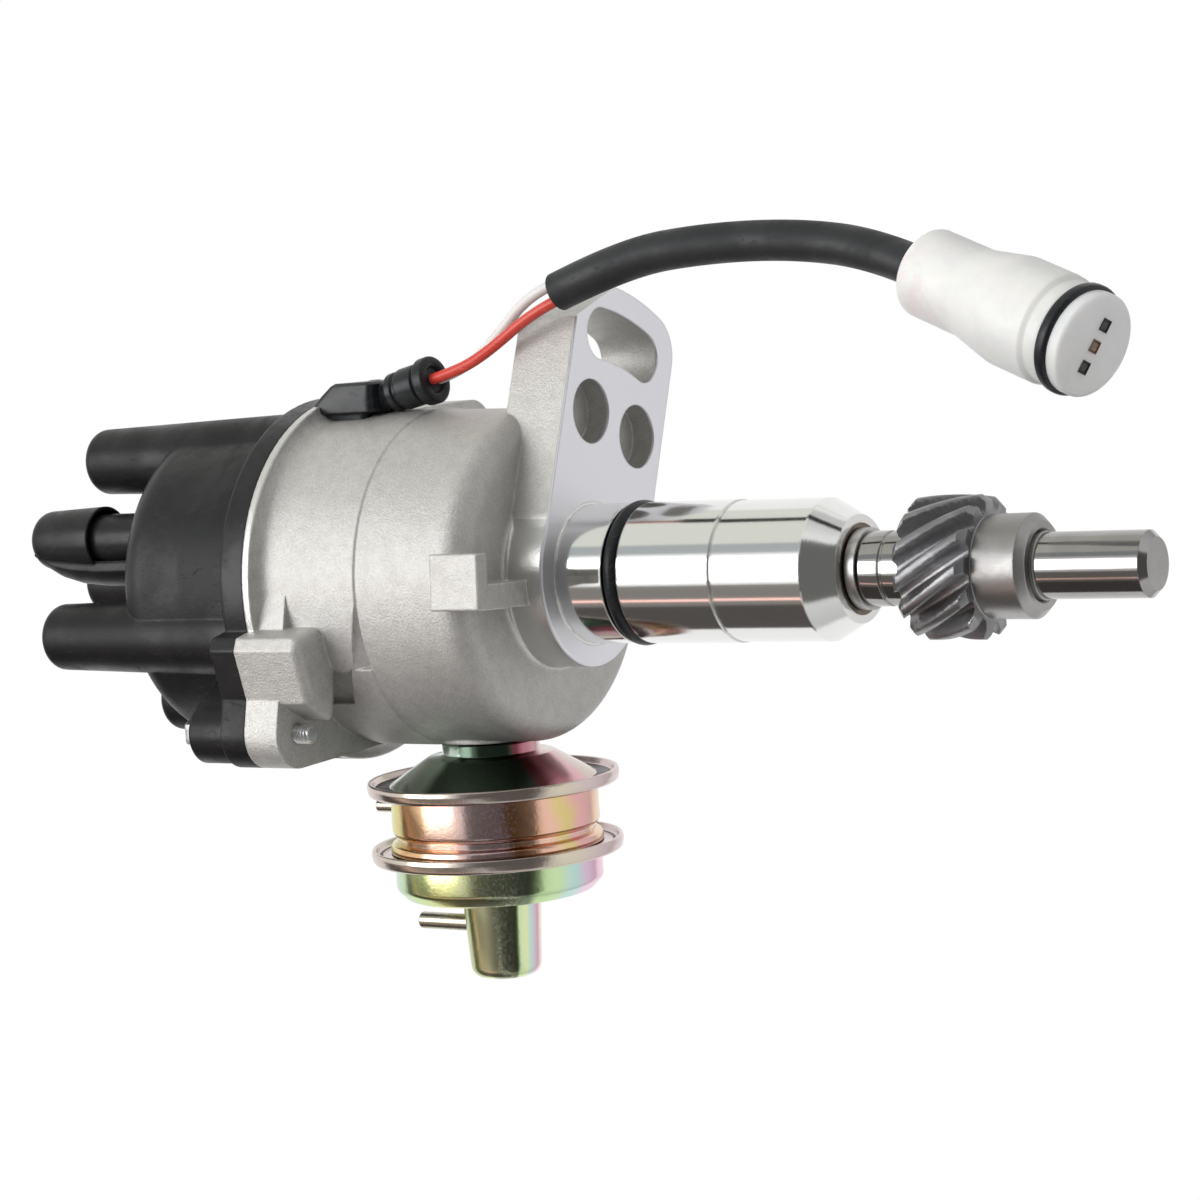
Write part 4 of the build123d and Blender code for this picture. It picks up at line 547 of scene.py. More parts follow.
@dataclass(frozen=True)
class CastBody(Finish):
    """Sand-blasted cast aluminium that turns to machined metal on the shank, seat face and rim.

    A pair such as ``shank_edge`` is a radius or a height in metres: the mask rises from the first
    number to the second.
    """

    cast: Colour = (0.60, 0.59, 0.57)
    dark: Colour = (0.40, 0.385, 0.365)
    pale: Colour = (0.70, 0.69, 0.67)
    turned: Colour = (0.80, 0.80, 0.785)
    seat: Colour = (0.83, 0.83, 0.87)
    edge: Colour = (0.86, 0.85, 0.82)
    cast_rough: float = 0.50
    turned_rough: float = 0.11
    seat_rough: float = 0.40
    cast_metal: float = 0.62
    seat_top: Span = (0.0006, 0.0002)
    shank_edge: Span = (0.0142, 0.0137)
    hub_edge: Span = (0.0190, 0.0184)
    hub_top: Span = (0.0092, 0.0080)
    rim_foot: Span = (0.0530, 0.0536)
    rim_inner: Span = (0.0364, 0.0366)
    rim_outer: Span = (0.0378, 0.0374)
    hub_weight: float = 0.65
    rim_weight: float = 0.35
    grain: float = 2600.0
    speck: Span = (0.42, 0.78)
    speck_weight: float = 0.5
    stain_scale: float = 34.0
    stain_weight: float = 0.10
    edge_width: float = 0.0008
    edge_weight: float = 0.7
    ring_pitch: float = 3600.0
    ring_weight: float = 0.035
    depth: float = 0.00018
    rounding: float = 0.0006

    def paint(self, desk: Desk, place: Signal) -> Inputs:
        """Masks by radius and height choose between the cast skin, the seat face and turned metal."""
        x, y, z = desk.axes(place)
        radius = (x ** 2.0 + y ** 2.0) ** 0.5
        below = z.step(*self.seat_top)
        shank = below * radius.step(*self.shank_edge)
        face = below * (1.0 - shank)
        hub = radius.step(*self.hub_edge) * (z.step(*self.hub_top) * (1.0 - below))
        rim = z.step(*self.rim_foot) * (radius.step(*self.rim_inner) * radius.step(*self.rim_outer))
        tooled = shank.most(hub * self.hub_weight).most(rim * self.rim_weight)
        bare = face.most(tooled)
        grain = desk.effect(Effect.GRAIN, place, Scale=self.grain)
        stain = desk.effect(Effect.SMUDGE, place, Scale=self.stain_scale)["Mask"]
        edge = desk.effect(Effect.EDGE, place, Width=self.edge_width)["Mask"]
        cast = desk.mix(grain["Height"].step(*self.speck), self.dark, self.pale)
        cast = desk.mix(self.speck_weight, cast, self.cast)
        cast = desk.mix((stain + grain["Tone"]) * self.stain_weight, cast, self.dark)
        cast = desk.mix(edge * self.edge_weight, cast, self.edge)
        rings = desk.effect(Effect.TURNING, place, Pitch=self.ring_pitch)["Height"]
        height = grain["Height"] * (1.0 - bare) + rings * (bare * self.ring_weight)
        return {"Base Color": desk.mix(tooled, desk.mix(face, cast, self.seat), self.turned),
                "Roughness": tooled.span(face.span(self.cast_rough, self.seat_rough), self.turned_rough),
                "Metallic": bare.span(self.cast_metal, 1.0),
                "Normal": desk.relief(height, self.depth, self.rounding)}


@dataclass(frozen=True)
class RainbowZinc(Finish):
    """Yellow chromate on zinc, whose colour runs round the vacuum unit's axis and drifts a little.
    The cover, can and cup ramps hold painted highlights and painted dark reflections as well as the chromate's
    colours.
    """

    stops: tuple[tuple[float, Colour], ...] = ()
    drift: float = 0.08
    speckle: Colour = (0.56, 0.50, 0.46)
    edge: Colour = (0.80, 0.74, 0.66)
    smooth: float = 0.16
    rough: float = 0.26
    height: float = 0.0275
    across: Span = (0.546, -0.838)
    drift_scale: float = 70.0
    behind: Span = (0.0, 0.6)
    behind_shift: float = 0.3
    speck_scale: float = 1900.0
    speck: Span = (0.48, 0.62)
    speck_middle: float = 0.47
    speck_reach: Span = (0.07, 0.20)
    speck_weight: float = 0.7
    edge_width: float = 0.0006
    edge_weight: float = 0.5
    smudge_scale: float = 110.0
    grain: float = 1400.0
    depth: float = 0.00003

    def paint(self, desk: Desk, place: Signal) -> Inputs:
        """The ramp is read at 0.5 + 0.5 cos(turn), where turn is the angle about the unit's axis from the
        `across` direction in the YZ plane; noise and the far side shift it. So the ramp's painted highlights
        and painted dark reflections stay at fixed angles round the unit."""
        _, y, z = desk.axes(place)
        lift = z - self.height
        radius = ((y ** 2.0 + lift ** 2.0) ** 0.5).most(0.0001)
        right = y * self.across[0] + lift * self.across[1]
        away = lift * self.across[0] - y * self.across[1]
        across = 0.5 + right / radius * 0.5
        noise = desk.noise(place, self.drift_scale, Detail=3.0, Distortion=0.8)
        behind = (away / radius).step(*self.behind) * self.behind_shift
        # The ramp gives the chromate colour together with painted highlights and painted dark reflections.
        chromate_and_painted_reflection = desk.ramp(across + (noise - 0.5) * (2.0 * self.drift) + behind, self.stops)
        middle = 1.0 - abs(across - self.speck_middle).step(*self.speck_reach)
        speck = desk.noise(place, self.speck_scale, Detail=2.0)
        mottled = desk.mix(speck.step(*self.speck) * (middle * self.speck_weight), chromate_and_painted_reflection, self.speckle)
        edge = desk.effect(Effect.EDGE, place, Width=self.edge_width)["Mask"]
        smudge = desk.effect(Effect.SMUDGE, place, Scale=self.smudge_scale)["Mask"]
        grain = desk.effect(Effect.GRAIN, place, Scale=self.grain)["Height"]
        return {"Base Color": desk.mix(edge * self.edge_weight, mottled, self.edge),
                "Roughness": smudge.span(self.smooth, self.rough), "Metallic": 1.0,
                "Normal": desk.relief(grain, self.depth, 0.0)}


@dataclass(frozen=True)
class MilkyNylon(Finish):
    """Unfilled nylon: milky, lit from inside, faintly rosy at the cable's end and cool at its face."""

    pale: Colour = (0.87, 0.865, 0.83)
    grey: Colour = (0.81, 0.81, 0.80)
    rosy: Colour = (0.86, 0.72, 0.74)
    cool: Colour = (0.97, 0.96, 0.98)
    rosy_height: Span = (-0.092, -0.082)
    rosy_cloud: Span = (0.2, 0.9)
    rosy_weight: float = 0.5
    cool_height: Span = (-0.112, -0.118)
    cool_weight: float = 0.6
    cloud_scale: float = 120.0
    rough: float = 0.42
    inner_light: float = 0.55
    inner_reach: Colour = (0.004, 0.0035, 0.0032)
    grain: float = 700.0
    depth: float = 0.00005
    rounding: float = 0.0005

    def paint(self, desk: Desk, place: Signal) -> Inputs:
        """Clouds blend two milky tones, and height tints both ends."""
        _, _, z = desk.axes(place)
        cloud = desk.effect(Effect.SMUDGE, place, Scale=self.cloud_scale)["Mask"]
        rosy = z.step(*self.rosy_height) * cloud.step(*self.rosy_cloud) * self.rosy_weight
        base = desk.mix(rosy, desk.mix(cloud, self.pale, self.grey), self.rosy)
        grain = desk.effect(Effect.GRAIN, place, Scale=self.grain)["Height"]
        return {"Base Color": desk.mix(z.step(*self.cool_height) * self.cool_weight, base, self.cool),
                "Roughness": self.rough, "Subsurface Weight": self.inner_light,
                "Subsurface Radius": self.inner_reach, "Subsurface Scale": 1.0,
                "Normal": desk.relief(grain, self.depth, self.rounding)}


class Finishes:
    """Every finish of the distributor, made once and handed out by name."""

    catalogue: tuple[Finish, ...] = (
        CastBody("cast_aluminium"),
        Metal("ground_steel", (0.40, 0.39, 0.38), (0.34, 0.33, 0.325),
              0.07, 0.13, 2500.0, 0.000006, 0.0002, 5000.0),
        Metal("gear_steel", (0.36, 0.355, 0.36), (0.27, 0.27, 0.28), 0.32, 0.46, 1700.0, 0.00004, 0.0003),
        Metal("hub_steel", (0.44, 0.43, 0.42), (0.36, 0.35, 0.345), 0.34, 0.46, 2600.0, 0.00003, 0.0003),
        Metal("pressed_steel", (0.60, 0.59, 0.58), (0.48, 0.47, 0.46), 0.25, 0.4, 2000.0, 0.00001, 0.0002),
        Metal("bright_zinc", (0.90, 0.90, 0.90), (0.78, 0.79, 0.80), 0.16, 0.30, 2400.0, 0.00001, 0.0002),
        Metal("spring_steel", (0.52, 0.52, 0.53), (0.40, 0.40, 0.41), 0.2, 0.35, 2600.0, 0.000008, 0.0),
        Metal("brass", (0.78, 0.60, 0.32), (0.62, 0.45, 0.24), 0.2, 0.36, 2200.0, 0.00001, 0.0002),
        Metal("bronze", (0.20, 0.17, 0.13), (0.14, 0.12, 0.10), 0.34, 0.5, 2600.0, 0.00003, 0.0002),
        Metal("magnet", (0.17, 0.16, 0.16), (0.12, 0.11, 0.11), 0.4, 0.6, 1700.0, 0.00003, 0.0002),
        Moulding("black_moulding", (0.0055, 0.0056, 0.0063), (0.09, 0.09, 0.095),
                 0.30, 0.46, 1500.0, 0.00004, 0.0007, 0.07, 0.27),
        Moulding("rotor_moulding", (0.03, 0.028, 0.027), (0.09, 0.085, 0.08), 0.35, 0.5),
        Moulding("carbon", (0.02, 0.02, 0.02), (0.05, 0.05, 0.05), 0.55, 0.7),
        Moulding("socket_amber", (0.22, 0.13, 0.08), (0.42, 0.30, 0.22), 0.35, 0.5, 2400.0, 0.00004),
        Moulding("coil_tape", (0.30, 0.12, 0.05), (0.5, 0.25, 0.12), 0.3, 0.45, 2400.0, 0.00004),
        Moulding("black_rubber", (0.008, 0.009, 0.011), (0.07, 0.072, 0.078),
                 0.24, 0.40, 1300.0, 0.00003, 0.0004, 0.2, 0.36),
        Moulding("sleeve_tube", (0.019, 0.020, 0.0215), (0.06, 0.062, 0.066),
                 0.44, 0.60, 900.0, 0.00009, 0.0, 0.12, 0.36),
        Moulding("red_insulation", (0.60, 0.042, 0.026), (0.85, 0.24, 0.19),
                 0.30, 0.42, 1600.0, 0.00002, 0.0, 0.2),
        Moulding("white_insulation", (0.76, 0.74, 0.72), (0.84, 0.80, 0.78),
                 0.32, 0.45, 1600.0, 0.00002, 0.0, 0.2),
        # Cover stops: the pale green at 0 is a painted reflection of the floor, and the near-black stops from
        # 0.21 to 0.70 are a painted dark reflection.
        RainbowZinc("zinc_cover", (
            (0.0, (0.82, 0.92, 0.82)), (0.14, (0.62, 0.76, 0.64)), (0.21, (0.07, 0.10, 0.075)),
            (0.45, (0.06, 0.09, 0.06)), (0.70, (0.05, 0.075, 0.055)), (0.77, (0.16, 0.04, 0.05)),
            (0.86, (0.50, 0.20, 0.24)), (0.95, (0.68, 0.40, 0.42)), (1.0, (0.60, 0.50, 0.44))),
            0.04, (0.08, 0.11, 0.08)),
        RainbowZinc("zinc_rim", (
            (0.0, (0.60, 0.50, 0.46)), (0.2, (0.62, 0.57, 0.47)), (0.45, (0.60, 0.52, 0.48)),
            (0.62, (0.56, 0.46, 0.42)), (0.8, (0.70, 0.63, 0.50)), (0.92, (0.70, 0.56, 0.56)),
            (1.0, (0.60, 0.48, 0.48))), 0.08),
        # Copper stops: the pale pink at 0.24 is a painted highlight and the dark brown at 0.60 a painted dark
        # reflection, mixed with the chromate's colours.
        RainbowZinc("zinc_copper", (
            (0.0, (0.70, 0.64, 0.24)), (0.07, (0.76, 0.46, 0.22)), (0.24, (0.86, 0.58, 0.46)),
            (0.40, (0.62, 0.46, 0.44)), (0.50, (0.60, 0.40, 0.42)), (0.60, (0.40, 0.19, 0.085)),
            (0.68, (0.70, 0.40, 0.26)), (0.76, (0.84, 0.52, 0.40)), (0.84, (0.76, 0.60, 0.26)),
            (0.92, (0.84, 0.46, 0.46)), (1.0, (0.80, 0.58, 0.38))), 0.09, (0.74, 0.58, 0.62)),
        # Green stops: the pale yellow at 0.24 is a painted highlight and the dark olive at 0.64 a painted dark
        # reflection, mixed with the chromate's colours.
        RainbowZinc("zinc_green", (
            (0.0, (0.50, 0.68, 0.52)), (0.12, (0.60, 0.74, 0.34)), (0.24, (0.84, 0.82, 0.36)),
            (0.36, (0.56, 0.58, 0.30)), (0.50, (0.32, 0.36, 0.21)), (0.64, (0.17, 0.21, 0.13)),
            (0.70, (0.54, 0.72, 0.38)), (0.78, (0.60, 0.78, 0.44)), (0.86, (0.54, 0.74, 0.70)),
            (0.92, (0.80, 0.58, 0.74)), (1.0, (0.86, 0.50, 0.62))), 0.04, (0.62, 0.64, 0.54)),
        # Cup stops: the pale yellow at 0.26 is a painted highlight and the dark olive from 0.60 to 0.68 a
        # painted dark reflection, mixed with the chromate's colours.
        RainbowZinc("zinc_cup", (
            (0.0, (0.50, 0.56, 0.28)), (0.10, (0.58, 0.64, 0.32)), (0.26, (0.86, 0.86, 0.54)),
            (0.42, (0.40, 0.42, 0.26)), (0.60, (0.22, 0.24, 0.14)), (0.68, (0.18, 0.21, 0.12)),
            (0.73, (0.66, 0.80, 0.46)), (0.82, (0.76, 0.84, 0.48)), (0.88, (0.58, 0.76, 0.74)),
            (0.95, (0.86, 0.54, 0.64)), (1.0, (0.84, 0.72, 0.64))), 0.04, (0.62, 0.62, 0.52)),
        Metal("zinc_nipple", (0.56, 0.55, 0.42), (0.46, 0.42, 0.36), 0.2, 0.32, 1600.0, 0.00002, 0.0002),
        MilkyNylon("clear_nylon"),
    )

    def __init__(self) -> None:
        """Build the shared effects and every material."""
        build_effects()
        self.made = {finish.name: finish.build() for finish in self.catalogue}

    def dress(self, piece: Piece, name: str) -> Piece:
        """Give a whole piece one finish."""
        piece.data.materials.clear()
        piece.data.materials.append(self.made[name])
        return piece


class Assembly:
    """Base of the sub-assemblies: hands a finished piece to its body and hides the imported nodes that it
    stands for.
    """

    body: str = "housing"

    def __init__(self, finishes: Finishes) -> None:
        """Keep the finishes."""
        self.finishes = finishes
        self.dress = finishes.dress

    def hand_over(self, piece: Piece, slot: str, *nodes: str, body: str | None = None) -> Piece:
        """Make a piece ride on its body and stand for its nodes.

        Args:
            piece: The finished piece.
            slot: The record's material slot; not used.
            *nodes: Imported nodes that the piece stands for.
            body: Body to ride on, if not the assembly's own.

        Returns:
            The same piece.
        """
        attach(piece, body or self.body)
        if nodes:
            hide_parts(*nodes)
        faces = len(piece.data.polygons) if piece.type == "MESH" else 0
        LOG.info("%s: %d faces, rides on %s", piece.name, faces, body or self.body)
        return piece


# ---------------------------------------------------------------- cable and plug
@dataclass
class HarnessSizes:
    """Sizes of the cable, in millimetres: routes are the control points of their splines."""

    lead_radius: float = 1.1
    sleeve_radius: float = 3.8
    red: tuple[Vec3, ...] = (
        (39.4, -5.25, 31.3), (40.9, -5.25, 24.4), (44.3, -5.3, 17.0), (50.86, -5.3, 6.6),
        (53.0, -5.3, 0.44))
    white: tuple[Vec3, ...] = (
        (39.4, -2.75, 31.3), (41.2, -2.75, 24.6), (45.9, -2.75, 17.8), (54.9, -2.9, 8.2),
        (56.4, -2.9, 1.43))
    sleeve: tuple[Vec3, ...] = (
        (54.6, -4.0, 1.0), (60.0, -4.0, -14.5), (61.5, -4.0, -33.0), (60.9, -4.0, -52.0),
        (57.9, -4.85, -68.7), (53.3, -8.2, -80.0))
    plug_side: Vec3 = (0.912, 0.270, -0.452)
    plug_length: float = 40.6
    rear_radius: float = 8.1
    body_radius: float = 9.9
    nose_radius: float = 9.2
    nose_length: float = 8.6
    groove_radius: float = 8.2
    flat_turn: float = 0.142
    flat_reach: float = 9.35
    pad_rise: float = 0.9
    pad_start: float = 16.0
    pad_slope: float = 3.0
    seal_inner: float = 8.25
    seal_outer: float = 9.9
    socket_pitch: float = 3.9
    socket_half: float = 0.95


class Harness(Assembly):
    """Leads, sleeve and sealed plug."""

    sizes = HarnessSizes()

    def cord(self, name: str, node: str, route: tuple[Vec3, ...], radius: float, finish: str, length: float,
             far_end: str, with_pieces: tuple[Piece, ...] = ()) -> None:
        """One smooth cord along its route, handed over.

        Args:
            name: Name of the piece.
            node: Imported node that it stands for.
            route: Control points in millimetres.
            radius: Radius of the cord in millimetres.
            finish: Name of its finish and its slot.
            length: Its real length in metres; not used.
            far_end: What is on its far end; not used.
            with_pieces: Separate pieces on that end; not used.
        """
        curve = bpy.data.curves.new(name, "CURVE")
        curve.dimensions = "3D"
        spline = curve.splines.new("NURBS")
        spline.points.add(len(route) - 1)
        flat = np.concatenate([np.array(route) * MM, np.ones((len(route), 1))], axis=1)
        spline.points.foreach_set("co", flat.ravel())
        spline.order_u = 3
        spline.use_endpoint_u = True
        spline.resolution_u = 14
        curve.bevel_depth = radius * MM
        curve.bevel_resolution = 9
        curve.use_fill_caps = True
        piece = self.hand_over(self.dress(link(name, curve), finish), finish, node)

    def plug_place(self) -> Placement:
        """Local frame at the plug's rear face, along the sleeve's last run."""
        end, before = np.array(self.sizes.sleeve[-1]), np.array(self.sizes.sleeve[-2])
        return Placement(tuple(end), tuple(end - before), self.sizes.plug_side)

    def plug_body(self) -> Piece:
        """Plug shell: a turned profile whose radius is trimmed to a flat on one side.

        The surface is r(a, s) from the profile, limited so that r cos(a - a0) stays under the flat's
        distance, which leaves a raised pad that ends before the nose.
        """
        s = self.sizes
        face, shoulder = s.plug_length, s.plug_length - s.nose_length
        spacing, steps, least_cosine, least_radius, no_limit = 0.8, 144, 0.2, 4.9, 99.0
        profile = rounded_profile([
            (4.3, 0.6), (4.8, 0, 0.4), (s.rear_radius, 0, 1.6), (s.rear_radius, 13.0, 6.0),
            (s.body_radius, 22.0, 6.0), (s.body_radius, shoulder, 0.7),
            (s.nose_radius, shoulder + 0.8, 0.4), (s.nose_radius, face - 5.0), (s.groove_radius, face - 5.0),
            (s.groove_radius, face - 2.4), (s.nose_radius, face - 2.4), (s.nose_radius, face, 0.7), (0, face)])
        counts = [max(2, int(np.linalg.norm(b - a) / spacing) + 1) for a, b in zip(profile, profile[1:])]
        runs = [np.linspace(a, b, n)[1:] for a, b, n in zip(profile, profile[1:], counts)]
        dense = np.concatenate([profile[:1], *runs])
        radius, height = dense[:, :1], dense[:, 1:]
        angle = full_turn(steps)
        cosine = np.cos(angle - s.flat_turn)
        pad = np.clip((height - s.pad_start) / s.pad_slope, 0, 1) * np.clip(shoulder - height, 0, 1)
        limit = np.where(cosine > least_cosine,
                         (s.flat_reach + s.pad_rise * pad) / np.maximum(cosine, least_cosine), no_limit)
        radius = np.minimum(radius, np.maximum(limit, least_radius))
        return grid_object("plug_shell", self.plug_place().place(polar(radius, angle, height)))

    def sockets(self) -> Piece:
        """Three square sockets: shallow open trays sunk a hair above the plug's face, dark inside; the dark of
        the two outer trays is painted shade of the deep socket holes.
        """
        s = self.sizes
        rim = np.array([(-1, -1), (1, -1), (1, 1), (-1, 1)], float) * s.socket_half
        rows = ((1.18, 0.02), (1.18, 0.16), (1.0, 0.16), (1.0, 0.03), (0.02, 0.03))
        trays = []
        # The dark finish of the outer trays is painted shade standing for the depth of the socket holes.
        for index, finish in ((-1, "rotor_moulding"), (0, "socket_amber"), (1, "rotor_moulding")):
            centre = (index * s.socket_pitch, 0.0)
            grid = np.stack([np.insert(rim * size + centre, 2, s.plug_length + rise, axis=1)
                             for size, rise in rows])
            tray = grid_object(f"tray_{index}", self.plug_place().place(grid), Edge.CRISP)
            trays.append(self.dress(tray, finish))
        return join("plug_sockets", trays)

    def build(self) -> None:
        """Build the harness and its cords."""
        s = self.sizes
        low, high = s.plug_length - 4.9, s.plug_length - 2.5
        body = self.dress(self.plug_body(), "clear_nylon")
        plug = self.hand_over(body, "clear_nylon", "connector_housing")
        sockets = self.hand_over(self.sockets(), "brass")
        ring = turned("plug_seal", [
            (s.seal_inner, low, 0.4), (s.seal_outer, low, 0.8), (s.seal_outer, high, 0.8),
            (s.seal_inner, high, 0.4)], self.plug_place(), closed=True)
        seal = self.hand_over(self.dress(ring, "black_rubber"), "black_rubber", "connector_seal")
        self.cord("cable_sleeve", "harness_sleeve", s.sleeve, s.sleeve_radius, "sleeve_tube", 0.0834,
                  "connector", (plug, seal, sockets))
        for colour, route, length in (("red", s.red, 0.0340), ("white", s.white, 0.0345)):
            self.cord(f"lead_{colour}_wire", f"lead_{colour}", route, s.lead_radius, f"{colour}_insulation",
                      length, "object")


# ---------------------------------------------------------------- cable outlet
@dataclass
class OutletSizes:
    """Sizes of the outlet block and the ribbed strain relief, in millimetres."""

    foot: Vec3 = (36.2, -4.0, 46.0)
    end: Vec3 = (39.4, -4.0, 31.3)
    neck: float = 3.2
    barrel: float = 4.15
    flange: float = 4.8
    block_middle: float = -1.5
    block_power: float = 0.2
    block_rows: tuple[tuple[float, float, float, float], ...] = (
        (31.6, 7.6, 45.7, 58.0), (33.4, 7.8, 45.7, 58.0), (33.9, 8.8, 43.1, 58.4), (35.6, 8.8, 43.1, 58.3),
        (37.4, 8.6, 43.2, 56.2), (39.2, 8.2, 43.4, 54.0), (39.7, 7.6, 43.9, 53.2), (39.8, 0.1, 48.0, 48.4))


class Outlet(Assembly):
    """Rubber outlet block and its ribbed strain relief."""

    sizes = OutletSizes()

    def relief(self) -> Piece:
        """Strain relief: a turned profile of neck, two ribs, barrel and end flange with a hollow mouth."""
        s = self.sizes
        axis = np.array(s.end) - np.array(s.foot)
        end = float(np.linalg.norm(axis))
        return turned("strain_relief", [
            (0, -1.0), (4.1, -1.0, 0.6), (3.6, 1.4, 0.8), (s.neck, 2.0, 0.4), (s.neck, 4.2, 0.3),
            (3.9, 4.5, 0.4), (3.9, 6.0, 0.4), (3.5, 6.3, 0.2), (3.5, 6.9, 0.2), (s.barrel, 7.2, 0.4),
            (s.barrel, end - 3.6, 0.4), (s.neck + 0.5, end - 3.3, 0.2), (s.neck + 0.5, end - 2.9, 0.2),
            (s.flange, end - 2.6, 0.5), (s.flange, end, 0.7), (3.0, end, 0.6), (2.4, end - 0.9, 0.3),
            (0, end - 0.9)], Placement(s.foot, tuple(axis), (0, 1, 0)), steps=72)

    def block(self) -> Piece:
        """Outlet block: rounded rectangles stacked along X, shrinking towards the sloped outer face.

        A row is (x, half width, lowest, highest), and its outline is a superellipse.
        """
        s = self.sizes
        turn = full_turn(48)
        waves = np.cos(turn), np.sin(turn)
        y_unit, z_unit = [np.sign(wave) * np.abs(wave) ** s.block_power for wave in waves]
        grid = np.stack([np.stack([np.full(turn.size, x), s.block_middle + half * y_unit,
                                   (low + high) / 2 + (high - low) / 2 * z_unit], -1)
                         for x, half, low, high in s.block_rows])
        return grid_object("outlet_block", grid * MM)

    def build(self) -> None:
        """Build the outlet and hand it over."""
        relief, block = [self.dress(piece, "black_rubber") for piece in (self.relief(), self.block())]
        self.hand_over(join("cable_outlet", [block, relief]), "black_rubber", "outlet_grommet")


# ---------------------------------------------------------------- vacuum unit
@dataclass
class VacuumSizes:
    """Sizes of the vacuum unit, in millimetres; the rings and the ends are distances along its axis."""

    height: float = 27.5
    rim_radius: float = 25.3
    can_radius: float = 20.7
    ring_1: float = 41.0
    ring_2: float = 54.4
    can_end: float = 63.4
    cup_end: float = 80.3
    screw_circle: float = 6.7
    screw_seat: float = 32.5
    nipple_wall: float = 0.55


class VacuumUnit(Assembly):
    """Pressed and plated vacuum unit, turned about an axis that points along -X."""

    sizes = VacuumSizes()

    def shell(self, name: str, corners: Corners, finish: str, closed: bool = True) -> Piece:
        """Turn (distance, radius, fillet) corners about the unit's axis and dress the piece."""
        place = Placement((0, 0, self.sizes.height), (-1, 0, 0), (0, 0, 1))
        swapped = [(radius, distance, *fillet) for distance, radius, *fillet in corners]
        return self.dress(turned(name, swapped, place, closed, steps=192), finish)

    def rim(self, name: str, at: float, lip: tuple[float, float, float], crown: float, back: float,
            inner: float) -> Piece:
        """Rolled rim of a can, curled back towards the body.

        Args:
            name: Name of the piece.
            at: Distance of its front face.
            lip: How far the inner lip lies before that face, its radius and its fillet.
            crown: Radius where the curl starts.
            back: How far its back lies behind the face.
            inner: Radius of the back's inner edge.

        Returns:
            The rim.
        """
        ahead, radius, fillet = lip
        return self.shell(name, [
            (at - ahead, radius, fillet), (at, crown, 0.7), (at - 1.3, crown + 0.5, 0.35),
            (at - 1.4, 25.0, 0.5), (at - 0.4, self.sizes.rim_radius - 0.1, 1.0), (at + back, 24.9, 0.9),
            (at + back + 0.2, inner, 0.2)], "zinc_rim")

    def cover(self) -> Piece:
        """Cover: neck that seats on the housing, and cone."""
        return self.shell("vacuum_cover_shell", [
            (32.6, 4.5), (32.6, 9.7, 0.5), (35.2, 9.8, 0.4), (35.5, 12.6, 0.8), (36.1, 13.6, 0.6),
            (40.5, 20.6, 0.6), (40.9, 21.0, 0.2), (40.9, 19.6, 0.2), (37.0, 12.9, 0.5), (36.4, 11.9, 0.4),
            (36.0, 9.0, 0.4), (33.4, 8.8, 0.3), (33.4, 4.5)], "zinc_cover")

    def middle(self) -> Piece:
        """Middle can: rim, upper band, groove and bead."""
        s = self.sizes
        rim = self.rim("middle_rim", s.ring_1, (0.05, 19.8, 0.1), 23.8, 1.3, 19.8)
        band = self.shell("middle_band", [
            (42.3, 19.8), (42.3, s.can_radius, 0.3), (50.0, s.can_radius + 0.05, 1.4), (50.9, 19.5, 0.4),
            (51.5, 19.5, 0.4), (52.1, s.can_radius + 0.3, 0.8), (53.2, 21.3, 0.8), (54.0, 21.2, 0.3),
            (54.2, 19.8)], "zinc_copper")
        return join("vacuum_middle_shell", [rim, band])

    def outer(self) -> Piece:
        """Outer can: rim, rounded shoulder and end cup."""
        s = self.sizes
        rim = self.rim("outer_rim", s.ring_2, (0.3, 21.2, 0.2), 23.9, 1.4, 21.0)
        can = self.shell("outer_can", [
            (55.6, 19.8), (55.6, s.can_radius, 0.3), (61.2, s.can_radius, 1.6), (s.can_end, 18.6, 1.6),
            (s.can_end + 0.1, 7.4)], "zinc_green", closed=False)
        cup = self.shell("outer_cup", [
            (s.can_end - 0.2, 9.2, 0.2), (s.can_end + 1.0, 7.9, 1.1), (s.cup_end, 6.9, 2.4),
            (s.cup_end, 0)], "zinc_cup", closed=False)
        return join("vacuum_outer_shell", [rim, can, cup])

    def nipple(self, name: str, distance: float, foot: float, tip: float, radius: float) -> Piece:
        """Hose nipple: a thin tube with a soft mouth, along +Z.

        Args:
            name: Name of the piece.
            distance: Distance from the shaft's axis.
            foot: Height of its lower end.
            tip: Height of its mouth.
            radius: Outer radius.

        Returns:
            The nipple.
        """
        wall, depth = self.sizes.nipple_wall, 4.0
        tube = turned(name, [
            (radius - wall, foot), (radius + wall, foot), (radius + wall, foot + 1.7, 0.3),
            (radius, foot + 2.1, 0.3), (radius, tip, 0.3), (radius - wall, tip, 0.2),
            (radius - wall, tip - depth, 0.2), (0, tip - depth)], Placement((-distance, 0, 0)), steps=40)
        return self.dress(tube, "zinc_nipple")

    def screw(self, name: str, angle: float) -> Piece:
        """Small round-headed screw at the seat, its head a dome with a shallow hollow."""
        s = self.sizes
        turn = math.radians(angle)
        y, z = s.screw_circle * math.cos(turn), s.screw_circle * math.sin(turn)
        place = Placement((-s.screw_seat, y, s.height + z), (-1, 0, 0), (0, 0, 1))
        return self.dress(turned(name, [
            (0, -1.0), (1.1, -1.0), (1.1, 0.9), (1.9, 0.9, 0.2), (1.9, 1.7, 0.5), (0.6, 2.2, 0.2),
            (0.5, 1.6, 0.1), (0, 1.6)], place, steps=40), "bright_zinc")

